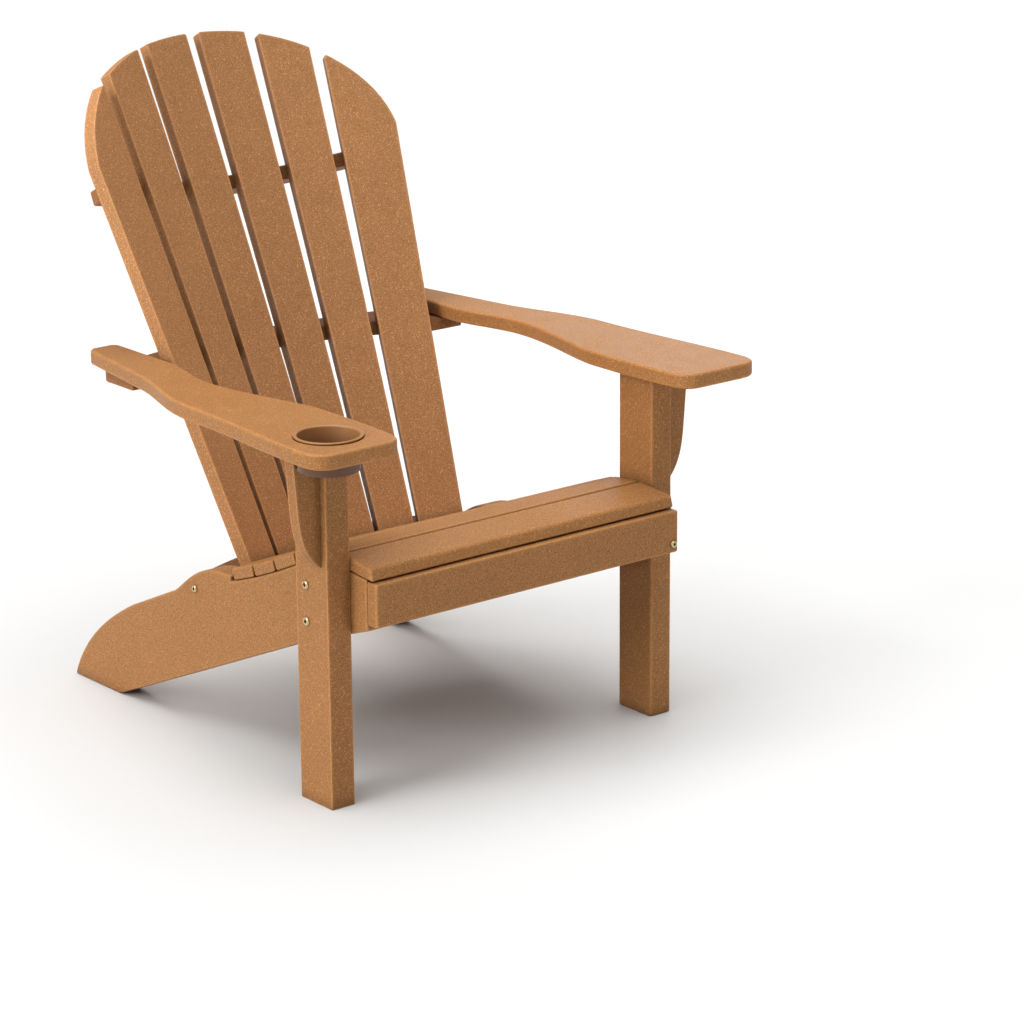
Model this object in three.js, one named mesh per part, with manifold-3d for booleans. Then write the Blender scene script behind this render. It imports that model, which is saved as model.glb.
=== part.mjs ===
// Adirondack chair in poly lumber, with a cup holder in the sitter's right arm.
// Millimetres. +X is the sitter's left, +Y is the rear, +Z is up. Y starts at the
// front faces of the front legs; the last lines move the whole chair onto its origin.

import * as THREE from 'three';
import { mergeVertices } from 'three/addons/utils/BufferGeometryUtils.js';
import Module from 'manifold-3d';

const wasm = await Module();
wasm.setup();

// Driving dimensions

const gap = 0.3;                  // clearance between pieces that rest on each other

// Front legs and side rails
const legOuterWidth = 615;        // over the outer faces of both front legs
const legWidth = 38;
const legDepth = 72;
const railThickness = 38;
const railFrontY = -36;           // front ends of the rails
const railFootStartY = 589;
const railFootEndY = 711;
const railHumpHeight = 258.5;
const railHumpEndY = 310;
const railBendY = 100;            // where the underside flattens towards the front
const railBendHeight = 210.5;
const railFrontDrop = 8;          // how far the front end shows below the apron

// Seat
const seatThickness = 18;
const seatFrontHeight = 349.5;    // top of the front slat at its front edge
const seatFrontY = -44;
const frontSlatWidth = 68;
const seatSlatWidth = 51;
const seatGap = 4;
const seatAngles = [4.5, -5, -20, -24, -22, -19];   // rise to the rear, degrees
const noseReach = 7;              // how far the front slat's face leans forward
const seatToBack = 4;             // clearance from the rear slat to the back

// Apron
const apronThickness = 22;
const apronHeight = 62;
const apronGap = 1.2;             // under the front slat

// Arms
const armTopHeight = 538;
const armThickness = 22;
const armFrontReach = 98;         // how far the arms run past the legs' front faces
const armTail = 33;               // how far the arms run past the arm brace
const armOuter = 81.5;            // widest point, from the leg's outer face
const armInnerFront = -67.5;
const armInnerWaist = -30.5;
const armInnerRear = -53;
const armOuterWaist = 64.5;
const armOuterRear = -3;

// Arm brackets
const bracketThickness = 20;
const bracketFrontY = 13;
const bracketWidth = 43;
const bracketTaper = 8;           // narrower by this at the foot of its straight part
const bracketHeight = 171;
const bracketStraight = 96;       // length of the upright part of its outer edge

// Cup holder
const cupRadius = 45;             // outer radius of the cup just below its rim
const cupBaseRadius = 42;
const cupWall = 3;
const cupRimReach = 3;
const cupRimHeight = 3;
const cupDrop = 24;               // how far the cup shows below the arm
const cupDrainRadius = 5;
const cupFromLeg = 8.5;           // cup axis, outboard of the leg's outer face
const cupAhead = 22;              // cup axis, ahead of the leg's front face
const cupClearance = 0.6;

// Back
const backRecline = 25.9;         // degrees from upright
const backCentreY = 467;          // front of the back on the centre line ...
const backCentreZ = 390;          // ... at this height
const backTopHeight = 945;
const backShoulderHeight = 780;   // where the arched top meets the straight sides
const backArchPower = 2.22;
const backSlatThickness = 20;
const backSlatBottomZ = 198;
const backEdgeAngle = 33;         // of the outer slats' outer edges, on the back's circle
const middleSlatAngle = 8.6;
const outerSlatAngle = 10.5;
const slatGapAngle = 2.1;
const slatFootGain = 2.8;         // extra half width at a slat's foot, so the gaps close downwards
const backToArm = 24.5;           // clearance from the back's edge to the arm
const backToRail = 45;            // clearance from the back's edge to the rail

// Braces behind the back
const braceThickness = 20;
const armBraceDepth = 52;
const armBraceEndInset = -8;      // ends, from the legs' outer faces
const upperBraceHeight = 731;     // on the centre line, at its front edge
const upperBraceThickness = 22;
const upperBraceDepth = 44;
const upperBraceOverhang = 2;
const lowerBraceTop = 231;
const lowerBraceThickness = 26;
const lowerBraceDepth = 44;

// Fasteners
const boltRadius = 3;
const boltHeadRadius = 6.5;
const boltHeadHeight = 3;
const boltY = 49;
const boltHeights = [261, 313];
const nutHeight = 5;
const nutRadius = 7;
const railScrewY = 376;
const railScrewLength = 62;
const apronScrewInset = 9;
const apronScrewHeight = 281;
const apronScrewLength = 52;
const screwRadius = 2.2;
const screwHeadRadius = 5.5;
const screwHeadHeight = 3;
const backScrewGrip = 24;
const backScrewBite = 12;
const armScrewLength = 36;
const armScrewInset = 26;         // from the ends of the arm brace
const drillClearance = 0.3;

// Derived dimensions

const legOuterX = legOuterWidth / 2;
const legInnerX = legOuterX - legWidth;
const railOuterX = legInnerX - gap;
const railInnerX = railOuterX - railThickness;
const armUnderside = armTopHeight - armThickness;
const radians = THREE.MathUtils.degToRad;

// The back is part of a cone. At a height z its slats lie on a circle of radius
// backRadius(z) whose rearmost point, on the centre line, is at backY(z).
const lowHalfWidth = railInnerX - backToRail;
const lowWidthZ = lowerBraceTop - lowerBraceThickness / 2;
const armHalfWidth = legOuterX + armInnerRear - backToArm;
const backSpread = (armHalfWidth - lowHalfWidth) / (armTopHeight - lowWidthZ);

function backHalfWidth(z) {
  return lowHalfWidth + backSpread * (z - lowWidthZ);
}

function backRadius(z) {
  return backHalfWidth(z) / Math.sin(radians(backEdgeAngle));
}

function backY(z) {
  return backCentreY + (z - backCentreZ) * Math.tan(radians(backRecline));
}

function backPoint(z, angle) {
  const radius = backRadius(z);
  const x = radius * Math.sin(angle);
  const y = backY(z) - radius * (1 - Math.cos(angle));
  return new THREE.Vector3(x, y, z);
}

// Materials

function lumber(colour) {
  return new THREE.MeshStandardMaterial({ color: colour, roughness: 0.62, metalness: 0 });
}

const sideLumber = lumber(0xb5865f);
const seatLumber = lumber(0xb98a60);
const backLumber = lumber(0xa97c50);
const armLumber = lumber(0xc9986c);
const braceLumber = lumber(0x7a5236);
const cupPlastic = new THREE.MeshStandardMaterial({ color: 0x7a5238, roughness: 0.5, metalness: 0 });
const brass = new THREE.MeshStandardMaterial({ color: 0xd8c08c, roughness: 0.35, metalness: 0.9 });

// Solids

function toSolid(geometry) {
  const bare = geometry.index ? geometry.toNonIndexed() : geometry.clone();
  bare.deleteAttribute('normal');
  bare.deleteAttribute('uv');
  const welded = mergeVertices(bare, 1e-4);
  return new wasm.Manifold(new wasm.Mesh({
    numProp: 3,
    vertProperties: new Float32Array(welded.attributes.position.array),
    triVerts: new Uint32Array(welded.index.array),
  }));
}

function toGeometry(solid) {
  const mesh = solid.getMesh();
  const geometry = new THREE.BufferGeometry();
  geometry.setAttribute('position', new THREE.BufferAttribute(mesh.vertProperties, 3));
  geometry.setIndex(new THREE.BufferAttribute(mesh.triVerts, 1));
  geometry.computeVertexNormals();
  return geometry;
}

function cut(geometry, cutters) {
  let solid = toSolid(geometry);
  for (const cutter of cutters) {
    solid = solid.subtract(toSolid(cutter));
  }
  return toGeometry(solid);
}

// A board from a plan outline (x, y), lying flat from z = bottom.
function flatBoard(shape, thickness, bottom) {
  const geometry = new THREE.ExtrudeGeometry(shape, {
    depth: thickness,
    bevelEnabled: false,
    curveSegments: 10,
  });
  return geometry.translate(0, 0, bottom);
}

// A board from a side outline (y, z), standing on edge from x = start.
function sideBoard(shape, thickness, start) {
  const geometry = new THREE.ExtrudeGeometry(shape, {
    depth: thickness,
    bevelEnabled: false,
    curveSegments: 10,
  });
  const turn = new THREE.Matrix4().makeBasis(
    new THREE.Vector3(0, 1, 0),
    new THREE.Vector3(0, 0, 1),
    new THREE.Vector3(1, 0, 0),
  );
  return geometry.applyMatrix4(turn).translate(start, 0, 0);
}

// A board from a front outline (x, z), its front face at y = front.
function frontBoard(shape, thickness, front) {
  const geometry = new THREE.ExtrudeGeometry(shape, {
    depth: thickness,
    bevelEnabled: false,
    curveSegments: 10,
  });
  return geometry.rotateX(Math.PI / 2).translate(0, front + thickness, 0);
}

// A polygon from a list of [a, b] corners.
function polygon(corners) {
  return new THREE.Shape(corners.map(([a, b]) => new THREE.Vector2(a, b)));
}

// A rod of the given radius from one point to another.
function rod(radius, from, to, sides = 12) {
  const axis = new THREE.Vector3().subVectors(to, from);
  const geometry = new THREE.CylinderGeometry(radius, radius, axis.length(), sides);
  const turn = new THREE.Quaternion().setFromUnitVectors(
    new THREE.Vector3(0, 1, 0),
    axis.clone().normalize(),
  );
  geometry.applyQuaternion(turn);
  const middle = new THREE.Vector3().addVectors(from, to).multiplyScalar(0.5);
  return geometry.translate(middle.x, middle.y, middle.z);
}

// A cutter for a fastener: clearance round its shank from seat to tip, and round its
// head from the seat outwards. The direction points from the seat into the wood.
function drill(seat, direction, shankRadius, length, headRadius = 0, headReach = 0) {
  const overlap = 0.5;
  const tip = seat.clone().addScaledVector(direction, length + 1);
  const cutters = [
    rod(shankRadius + drillClearance, seat.clone().addScaledVector(direction, -overlap), tip),
  ];
  if (headRadius > 0) {
    const outside = seat.clone().addScaledVector(direction, -headReach);
    cutters.push(rod(headRadius + drillClearance, outside, seat));
  }
  return cutters;
}

const chair = new THREE.Group();

function addPart(name, geometry, material, parent = chair) {
  const mesh = new THREE.Mesh(geometry, material);
  mesh.name = name;
  parent.add(mesh);
  return mesh;
}

// A lathe-turned fastener lying along +Y, its head's seat at the origin and its shank
// running to -Y, set with its shank along the given direction.
function addFastener(name, profile, seat, direction, sides = 12) {
  const points = profile.map(([r, h]) => new THREE.Vector2(r, h));
  const mesh = addPart(name, new THREE.LatheGeometry(points, sides), brass);
  mesh.position.copy(seat).addScaledVector(direction, -gap);
  mesh.quaternion.setFromUnitVectors(new THREE.Vector3(0, -1, 0), direction);
  return mesh;
}

// A pan head with a round socket in it.
function panProfile(shankRadius, headRadius, headHeight, length) {
  const socket = headRadius * 0.35;
  return [
    [0, -length],
    [shankRadius, -length],
    [shankRadius, 0],
    [headRadius, 0],
    [headRadius, headHeight * 0.4],
    [headRadius * 0.8, headHeight * 0.85],
    [socket + 0.4, headHeight],
    [socket, headHeight],
    [socket, headHeight * 0.4],
    [0, headHeight * 0.4],
  ];
}

function plainProfile(shankRadius, headRadius, headHeight, length) {
  return [
    [0, -length],
    [shankRadius, -length],
    [shankRadius, 0],
    [headRadius, 0],
    [headRadius, headHeight],
    [0, headHeight],
  ];
}

const sides = [
  { name: 'right', sign: -1 },
  { name: 'left', sign: 1 },
];

// Seat line

// Each slat's top runs from its front edge at its own angle. The rails carry the
// same facets one slat thickness lower.
function seatFacets() {
  const facets = [];
  let y = seatFrontY;
  let z = seatFrontHeight;
  seatAngles.forEach((degrees, index) => {
    const angle = radians(degrees);
    const width = index === 0 ? frontSlatWidth : seatSlatWidth;
    const facet = { y, z, angle, width };
    facet.endY = y + width * Math.cos(angle);
    facet.endZ = z + width * Math.sin(angle);
    facets.push(facet);
    const next = radians(seatAngles[index + 1] ?? degrees);
    const between = (angle + next) / 2;
    y = facet.endY + seatGap * Math.cos(between);
    z = facet.endZ + seatGap * Math.sin(between);
  });
  return facets;
}

const facets = seatFacets();
const lastFacet = facets[facets.length - 1];

// A point under a facet, at a distance along it and a depth below its top.
function underFacet(facet, along, depth) {
  return [
    facet.y + along * Math.cos(facet.angle) + depth * Math.sin(facet.angle),
    facet.z + along * Math.sin(facet.angle) - depth * Math.cos(facet.angle),
  ];
}

// Side rails

const railBed = seatThickness + gap;

function railShape() {
  const shape = new THREE.Shape();
  const frontBottom = seatFrontHeight - railBed - apronHeight - 2 - railFrontDrop;
  const frontTop = underFacet(facets[0], 0, railBed);
  const frontRise = Math.tan(facets[0].angle);
  shape.moveTo(railFootStartY, 0);
  shape.lineTo(railFootEndY, 0);
  shape.quadraticCurveTo(railFootEndY - 33, 82, railFootEndY - 164, 150);
  shape.lineTo(railFootEndY - 275, 199.7);
  shape.bezierCurveTo(
    railFootEndY - 301, 211.4,
    railHumpEndY + 68, railHumpHeight - 2,
    railHumpEndY, railHumpHeight,
  );
  const bedEnd = lastFacet.endY + 3;
  shape.lineTo(bedEnd, railHumpHeight);
  shape.lineTo(bedEnd, railTopAt(bedEnd));
  for (let index = facets.length - 1; index > 0; index -= 1) {
    const corner = bedCorner(facets[index - 1], facets[index]);
    shape.lineTo(corner[0], corner[1]);
  }
  shape.lineTo(railFrontY, frontTop[1] + (railFrontY - frontTop[0]) * frontRise);
  shape.lineTo(railFrontY, frontBottom);
  shape.lineTo(railBendY, railBendHeight);
  shape.closePath();
  return shape;
}

// Where the beds of two neighbouring slats meet.
function bedCorner(front, rear) {
  const a = underFacet(front, 0, railBed);
  const b = underFacet(rear, 0, railBed);
  const slopeA = Math.tan(front.angle);
  const slopeB = Math.tan(rear.angle);
  const y = (b[1] - a[1] + slopeA * a[0] - slopeB * b[0]) / (slopeA - slopeB);
  return [y, a[1] + slopeA * (y - a[0])];
}

function railTopAt(y) {
  for (let index = facets.length - 1; index >= 0; index -= 1) {
    const start = underFacet(facets[index], 0, railBed);
    if (y >= start[0]) {
      return start[1] + (y - start[0]) * Math.tan(facets[index].angle);
    }
  }
  return seatFrontHeight - railBed;
}

// Fastener positions

const apronTop = underFacet(facets[0], -noseReach, seatThickness + apronGap)[1];
const apronBottom = apronTop - apronHeight;
const railScrewHeight = lowerBraceTop - lowerBraceThickness / 2;

function boltSeat(sign, z) {
  return new THREE.Vector3(sign * legOuterX, boltY, z);
}

function inward(sign) {
  return new THREE.Vector3(-sign, 0, 0);
}

const boltLength = legWidth + gap + railThickness + nutHeight + 2;
const rearward = new THREE.Vector3(0, 1, 0);
const upward = new THREE.Vector3(0, 0, 1);

const apronScrewSeat = new THREE.Vector3(
  railOuterX - apronScrewInset,
  railFrontY - gap - apronThickness,
  apronScrewHeight,
);

function railScrewSeat(sign) {
  return new THREE.Vector3(sign * railOuterX, railScrewY, railScrewHeight);
}

// The arm brace's ends: its front edge lines up with the outer slats' rear corners.
const armBraceTop = armUnderside - gap;
const armBraceMiddle = armBraceTop - braceThickness / 2;
const slatRearOffset = backSlatThickness / Math.cos(radians(backRecline));
const armBraceFrontY = backPoint(armBraceMiddle, radians(backEdgeAngle)).y + slatRearOffset * 0.8;
const armBraceEndX = legOuterX + armBraceEndInset;
const armBraceEndDepth = 76;
const armRearY = armBraceFrontY + armBraceEndDepth + armTail;

function armScrewSeat(sign) {
  return new THREE.Vector3(
    sign * (armBraceEndX - armScrewInset),
    armBraceFrontY + armBraceEndDepth / 2,
    armBraceTop - braceThickness,
  );
}

const cupX = -(legOuterX + cupFromLeg);
const cupY = -cupAhead;

// Legs and rails

function cupRelief() {
  return rod(
    cupRadius + 1,
    new THREE.Vector3(cupX, cupY, armUnderside - cupDrop - 1),
    new THREE.Vector3(cupX, cupY, armUnderside + 5),
    32,
  );
}

for (const side of sides) {
  const outer = side.sign * legOuterX;
  const inner = side.sign * legInnerX;
  const legShape = polygon([
    [Math.min(outer, inner), 0],
    [Math.max(outer, inner), 0],
    [Math.max(outer, inner), legDepth],
    [Math.min(outer, inner), legDepth],
  ]);
  const legCuts = [];
  const railCuts = [];
  for (const height of boltHeights) {
    const bolt = drill(boltSeat(side.sign, height), inward(side.sign), boltRadius, boltLength);
    legCuts.push(...bolt);
    railCuts.push(...bolt);
  }
  if (side.sign < 0) {
    legCuts.push(cupRelief());
  }
  if (side.sign > 0) {
    railCuts.push(...drill(apronScrewSeat, rearward, screwRadius, apronScrewLength));
  }
  railCuts.push(...drill(railScrewSeat(side.sign), inward(side.sign), screwRadius, railScrewLength));

  const leg = flatBoard(legShape, armUnderside - gap, 0);
  addPart(`${side.name}_front_leg`, cut(leg, legCuts), sideLumber);
  const railStart = side.sign > 0 ? railInnerX : -railOuterX;
  const rail = sideBoard(railShape(), railThickness, railStart);
  addPart(`${side.name}_side_rail`, cut(rail, railCuts), sideLumber);
}

// Apron

const apronShape = polygon([
  [-railOuterX, apronBottom],
  [railOuterX, apronBottom],
  [railOuterX, apronTop],
  [-railOuterX, apronTop],
]);
const apronFront = railFrontY - gap - apronThickness;
const apronCuts = drill(apronScrewSeat, rearward, screwRadius, apronScrewLength);
addPart('front_apron', cut(frontBoard(apronShape, apronThickness, apronFront), apronCuts), seatLumber);

// Back slats

// Six slats, three to a side: half gap, slat, gap, slat, gap, outer slat.
function slatLayout() {
  const outerCentre = backEdgeAngle - outerSlatAngle / 2;
  const secondCentre = backEdgeAngle - outerSlatAngle - slatGapAngle - middleSlatAngle / 2;
  const firstCentre = secondCentre - middleSlatAngle - slatGapAngle;
  const half = [
    { centre: firstCentre, width: middleSlatAngle },
    { centre: secondCentre, width: middleSlatAngle },
    { centre: outerCentre, width: outerSlatAngle },
  ];
  const right = half.map((slat) => ({ ...slat, centre: -slat.centre })).reverse();
  return [...right, ...half];
}

// The frame of one slat: origin on its front face at the bottom, u across, v up, and
// its normal towards the sitter.
function slatFrame(slat) {
  const angle = radians(slat.centre);
  const origin = backPoint(backSlatBottomZ, angle);
  const v = backPoint(backSlatBottomZ + 100, angle).sub(origin).normalize();
  const u = new THREE.Vector3(Math.cos(angle), -Math.sin(angle), 0);
  u.addScaledVector(v, -u.dot(v)).normalize();
  const normal = new THREE.Vector3().crossVectors(u, v);
  return { origin, u, v, normal, matrix: new THREE.Matrix4().makeBasis(u, v, normal).setPosition(origin) };
}

function slatHalfWidth(slat, frame, along) {
  const z = frame.origin.z + along * frame.v.z;
  const below = (backShoulderHeight - z) / (backShoulderHeight - backSlatBottomZ);
  return backRadius(z) * radians(slat.width) / 2 + slatFootGain * below;
}

function archHeight(x) {
  const archHalf = backHalfWidth(backShoulderHeight) + 4.5;
  const share = Math.min(1, Math.abs(x) / archHalf);
  const rise = (1 - share ** backArchPower) ** (1 / backArchPower);
  return backShoulderHeight + (backTopHeight - backShoulderHeight) * rise;
}

// The top of a slat at a share of its half width, from -1 to 1, found by halving.
function slatTop(slat, frame, share) {
  let low = 0;
  let high = 2 * (backTopHeight - backSlatBottomZ);
  for (let step = 0; step < 40; step += 1) {
    const along = (low + high) / 2;
    const across = share * slatHalfWidth(slat, frame, along);
    const point = new THREE.Vector3(across, along, 0).applyMatrix4(frame.matrix);
    if (point.z < archHeight(point.x)) {
      low = along;
    } else {
      high = along;
    }
  }
  return [share * slatHalfWidth(slat, frame, low), low];
}

function slatShape(slat, frame) {
  const steps = 14;
  const bottom = slatHalfWidth(slat, frame, 0);
  const corners = [[-bottom, 0], [bottom, 0]];
  const outward = Math.sign(slat.centre);
  for (let step = 0; step <= steps; step += 1) {
    const share = Math.sin((step / steps) * Math.PI / 2) * 2 - 1;
    corners.push(slatTop(slat, frame, outward * share));
  }
  if (outward > 0) {
    corners.splice(2, corners.length - 2, ...corners.slice(2).reverse());
  }
  return polygon(corners);
}

// Space of one slat's width and far beyond it, between two depths from its front face.
function slatSpace(frame, from, to) {
  const height = 4 * (backTopHeight - backSlatBottomZ);
  const width = 3 * legOuterWidth;
  const geometry = new THREE.BoxGeometry(width, height, to - from);
  return geometry.translate(0, 0, (from + to) / 2).applyMatrix4(frame.matrix);
}

// The slats curve round the sitter, so what lies behind any one of them is behind
// the whole back. This is all of that space, from the given depth rearwards.
function behindBack(depth) {
  let space = toSolid(slatSpace(slats[0].frame, depth - 300, depth));
  for (const slat of slats.slice(1)) {
    space = space.add(toSolid(slatSpace(slat.frame, depth - 300, depth)));
  }
  return space;
}

const slats = slatLayout().map((slat, index) => ({ ...slat, index: index + 1 }));
for (const slat of slats) {
  slat.frame = slatFrame(slat);
}

// Where a screw in a brace meets the rear face of a slat, and the way it points.
function braceScrew(slat, height, level) {
  const angle = radians(slat.centre);
  const front = backPoint(height, angle);
  const direction = level
    ? new THREE.Vector3(-Math.sin(angle), -Math.cos(angle), 0)
    : slat.frame.normal.clone();
  const run = backSlatThickness / direction.dot(slat.frame.normal);
  const rear = front.clone().addScaledVector(direction, -run);
  const seat = rear.clone().addScaledVector(direction, -backScrewGrip);
  return { seat, direction };
}

const tilt = radians(backRecline);
const upperScrewShift = backSlatThickness * Math.sin(tilt);
const braces = [
  { name: 'lower', level: true, height: lowerBraceTop - lowerBraceThickness / 2 },
  { name: 'arm', level: true, height: armBraceMiddle },
  { name: 'upper', level: false, height: upperBraceHeight + upperScrewShift },
];

// A level brace's screws stay at its own height. The upper brace lies square to the
// slats, so its screws' heights follow the back's curve.
function screwFor(brace, slat) {
  if (brace.level) {
    return braceScrew(slat, brace.height, true);
  }
  const centre = new THREE.Vector3(0, backY(brace.height), brace.height);
  const up = new THREE.Vector3(0, Math.sin(tilt), Math.cos(tilt));
  const along = centre.clone().sub(slat.frame.origin).dot(up) / slat.frame.v.dot(up);
  const height = slat.frame.origin.z + along * slat.frame.v.z;
  return braceScrew(slat, height, false);
}

const backScrews = [];
for (const brace of braces) {
  for (const slat of slats) {
    const screw = screwFor(brace, slat);
    backScrews.push({ ...screw, brace: brace.name, slat: slat.index });
  }
}

const backScrewLength = backScrewGrip + backScrewBite;

for (const slat of slats) {
  const geometry = new THREE.ExtrudeGeometry(slatShape(slat, slat.frame), {
    depth: backSlatThickness,
    bevelEnabled: false,
  });
  geometry.translate(0, 0, -backSlatThickness).applyMatrix4(slat.frame.matrix);
  const holes = backScrews
    .filter((screw) => screw.slat === slat.index)
    .flatMap((screw) => drill(screw.seat, screw.direction, screwRadius, backScrewLength));
  addPart(`back_slat_${slat.index}`, cut(geometry, holes), backLumber);
}

// Seat slats

// Where the seat bends down, the slats' undersides are cut back to keep their gap.
function mitre(front, rear) {
  return front && rear ? seatThickness * Math.tan(Math.max(0, front.angle - rear.angle) / 2) : 0;
}

function seatSection(facet, index) {
  const frontInset = index === 0 ? -noseReach : mitre(facets[index - 1], facet);
  const rearInset = mitre(facet, facets[index + 1]);
  const topFront = [facet.y, facet.z];
  const topRear = [facet.endY, facet.endZ];
  const bottomRear = underFacet(facet, facet.width - rearInset, seatThickness);
  const bottomFront = underFacet(facet, frontInset, seatThickness);
  return polygon([bottomFront, bottomRear, topRear, topFront]);
}

facets.forEach((facet, index) => {
  const names = ['front_seat_slat', 'seat_slat_2', 'seat_slat_3', 'seat_slat_4', 'seat_slat_5', 'rear_seat_slat'];
  const length = 2 * railOuterX;
  let geometry = sideBoard(seatSection(facet, index), length, -railOuterX);
  if (index === facets.length - 1) {
    const reach = 180;
    const tongue = polygon([
      underFacet(facet, facet.width - 1, seatThickness),
      underFacet(facet, facet.width + reach, seatThickness),
      underFacet(facet, facet.width + reach, 0),
      underFacet(facet, facet.width - 1, 0),
    ]);
    const tongueHalf = railInnerX - 1;
    const middle = sideBoard(tongue, 2 * tongueHalf, -tongueHalf);
    const whole = toSolid(geometry).add(toSolid(middle));
    geometry = toGeometry(whole.subtract(behindBack(seatToBack)));
  }
  addPart(names[index], geometry, seatLumber);
});

// Braces

// A brace board shaped to the rear faces of the back slats, then drilled.
function fitBrace(board, holes) {
  const shaped = toSolid(board).intersect(behindBack(-backSlatThickness - gap));
  return cut(toGeometry(shaped), holes);
}

function braceHoles(name) {
  return backScrews
    .filter((screw) => screw.brace === name)
    .flatMap((screw) => drill(
      screw.seat,
      screw.direction,
      screwRadius,
      backScrewLength,
      screwHeadRadius,
      80,
    ));
}

// A plan outline with a straight front edge, rounded ends and a bowed rear edge.
function braceShape(halfLength, front, endRear, middleRear, corner) {
  const shape = new THREE.Shape();
  shape.moveTo(-halfLength + corner, front);
  shape.lineTo(halfLength - corner, front);
  shape.quadraticCurveTo(halfLength, front, halfLength, front + corner);
  shape.lineTo(halfLength, endRear - corner);
  shape.quadraticCurveTo(halfLength, endRear, halfLength - corner, endRear + 2);
  shape.quadraticCurveTo(0, 2 * middleRear - endRear, -halfLength + corner, endRear + 2);
  shape.quadraticCurveTo(-halfLength, endRear, -halfLength, endRear - corner);
  shape.lineTo(-halfLength, front + corner);
  shape.quadraticCurveTo(-halfLength, front, -halfLength + corner, front);
  return shape;
}

// Arm brace: level, and carries the rear ends of the arms.
const armBraceRear = backY(armBraceMiddle) + slatRearOffset + armBraceDepth;
const armBraceShape = braceShape(
  armBraceEndX,
  armBraceFrontY,
  armBraceFrontY + armBraceEndDepth,
  armBraceRear,
  12,
);
const armBraceCuts = braceHoles('arm');
for (const side of sides) {
  armBraceCuts.push(...drill(armScrewSeat(side.sign), upward, screwRadius, armScrewLength));
}
const armBraceBoard = flatBoard(armBraceShape, braceThickness, armBraceTop - braceThickness);
addPart('arm_brace', fitBrace(armBraceBoard, armBraceCuts), braceLumber);

// Lower brace: level, between the side rails.
const lowerBraceEndX = railInnerX - gap;
const lowerFrontY = railScrewY - 22;
const lowerRearEnd = railScrewY + 26;
const lowerBraceRear = backY(railScrewHeight) + slatRearOffset + lowerBraceDepth;
const lowerShape = braceShape(lowerBraceEndX, lowerFrontY, lowerRearEnd, lowerBraceRear, 2);
const lowerCuts = braceHoles('lower');
for (const side of sides) {
  lowerCuts.push(...drill(railScrewSeat(side.sign), inward(side.sign), screwRadius, railScrewLength));
}
const lowerBoard = flatBoard(lowerShape, lowerBraceThickness, lowerBraceTop - lowerBraceThickness);
addPart('lower_back_brace', fitBrace(lowerBoard, lowerCuts), braceLumber);

// Upper brace: square to the slats, drawn flat and then tipped with the back.
const upperEndX = backHalfWidth(upperBraceHeight) + upperBraceOverhang;
const upperSag = backRadius(upperBraceHeight) * (1 - Math.cos(radians(backEdgeAngle)));
const upperFront = -upperSag * Math.cos(tilt) + backSlatThickness * 0.4;
const upperShape = braceShape(
  upperEndX,
  upperFront,
  upperFront + backSlatThickness + upperBraceDepth * 0.75,
  backSlatThickness + upperBraceDepth,
  8,
);
const upperBoard = flatBoard(upperShape, upperBraceThickness, -upperBraceThickness / 2);
upperBoard.rotateX(-tilt);
upperBoard.translate(0, backY(braces[2].height), braces[2].height);
addPart('upper_back_brace', fitBrace(upperBoard, braceHoles('upper')), braceLumber);

// Arms

// Plan of the left arm. Across, it is set out from the leg's outer face.
function armShape(sign) {
  const at = (across) => sign * (legOuterX + across);
  const front = -armFrontReach;
  const rear = armRearY;
  const shape = new THREE.Shape();
  shape.moveTo(at(armInnerRear), rear - 15);
  shape.quadraticCurveTo(at(armInnerRear), rear, at(armInnerRear + 14), rear);
  shape.lineTo(at(armOuterRear - 16), rear);
  shape.quadraticCurveTo(at(armOuterRear - 1), rear, at(armOuterRear), rear - 15);
  shape.lineTo(at(22.5), rear - 178);
  shape.bezierCurveTo(at(31), 349, at(armOuterWaist), 290, at(armOuterWaist), 225);
  shape.bezierCurveTo(at(armOuterWaist), 130, at(armOuter), 20, at(armOuter), front + 36);
  shape.quadraticCurveTo(at(armOuter), front, at(armOuter - 35), front);
  shape.lineTo(at(armInnerFront + 34), front);
  shape.quadraticCurveTo(at(armInnerFront + 7), front + 1, at(armInnerFront + 5), front + 34);
  shape.bezierCurveTo(
    at(armInnerFront), -20,
    at(armInnerFront - 1), 60,
    at(armInnerFront + 1), 105,
  );
  shape.bezierCurveTo(at(armInnerFront + 4), 150, at(armInnerWaist), 240, at(armInnerWaist), 310);
  shape.bezierCurveTo(at(armInnerWaist), 360, at(armInnerRear + 2), 395, at(armInnerRear + 1), 440);
  shape.closePath();
  return shape;
}

for (const side of sides) {
  const cuts = drill(armScrewSeat(side.sign), upward, screwRadius, armScrewLength);
  if (side.sign < 0) {
    cuts.push(rod(
      cupRadius + cupClearance,
      new THREE.Vector3(cupX, cupY, armUnderside - 5),
      new THREE.Vector3(cupX, cupY, armTopHeight + 5),
      32,
    ));
  }
  const board = flatBoard(armShape(side.sign), armThickness, armUnderside);
  addPart(`${side.name}_arm`, cut(board, cuts), armLumber);
}

// Arm brackets

function bracketShape(sign) {
  const top = armUnderside - gap;
  const at = (across) => sign * (legOuterX + gap + across);
  const shape = new THREE.Shape();
  shape.moveTo(at(0), top - bracketHeight);
  shape.lineTo(at(0), top);
  shape.lineTo(at(bracketWidth), top);
  shape.lineTo(at(bracketWidth - bracketTaper), top - bracketStraight);
  shape.bezierCurveTo(
    at(bracketWidth - bracketTaper - 4), top - bracketStraight - 35,
    at(bracketWidth * 0.55), top - bracketHeight + 18,
    at(0), top - bracketHeight,
  );
  return shape;
}

for (const side of sides) {
  const cuts = side.sign < 0 ? [cupRelief()] : [];
  const plate = frontBoard(bracketShape(side.sign), bracketThickness, bracketFrontY);
  addPart(`${side.name}_arm_bracket`, cut(plate, cuts), sideLumber);
}

// Cup holder

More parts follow.
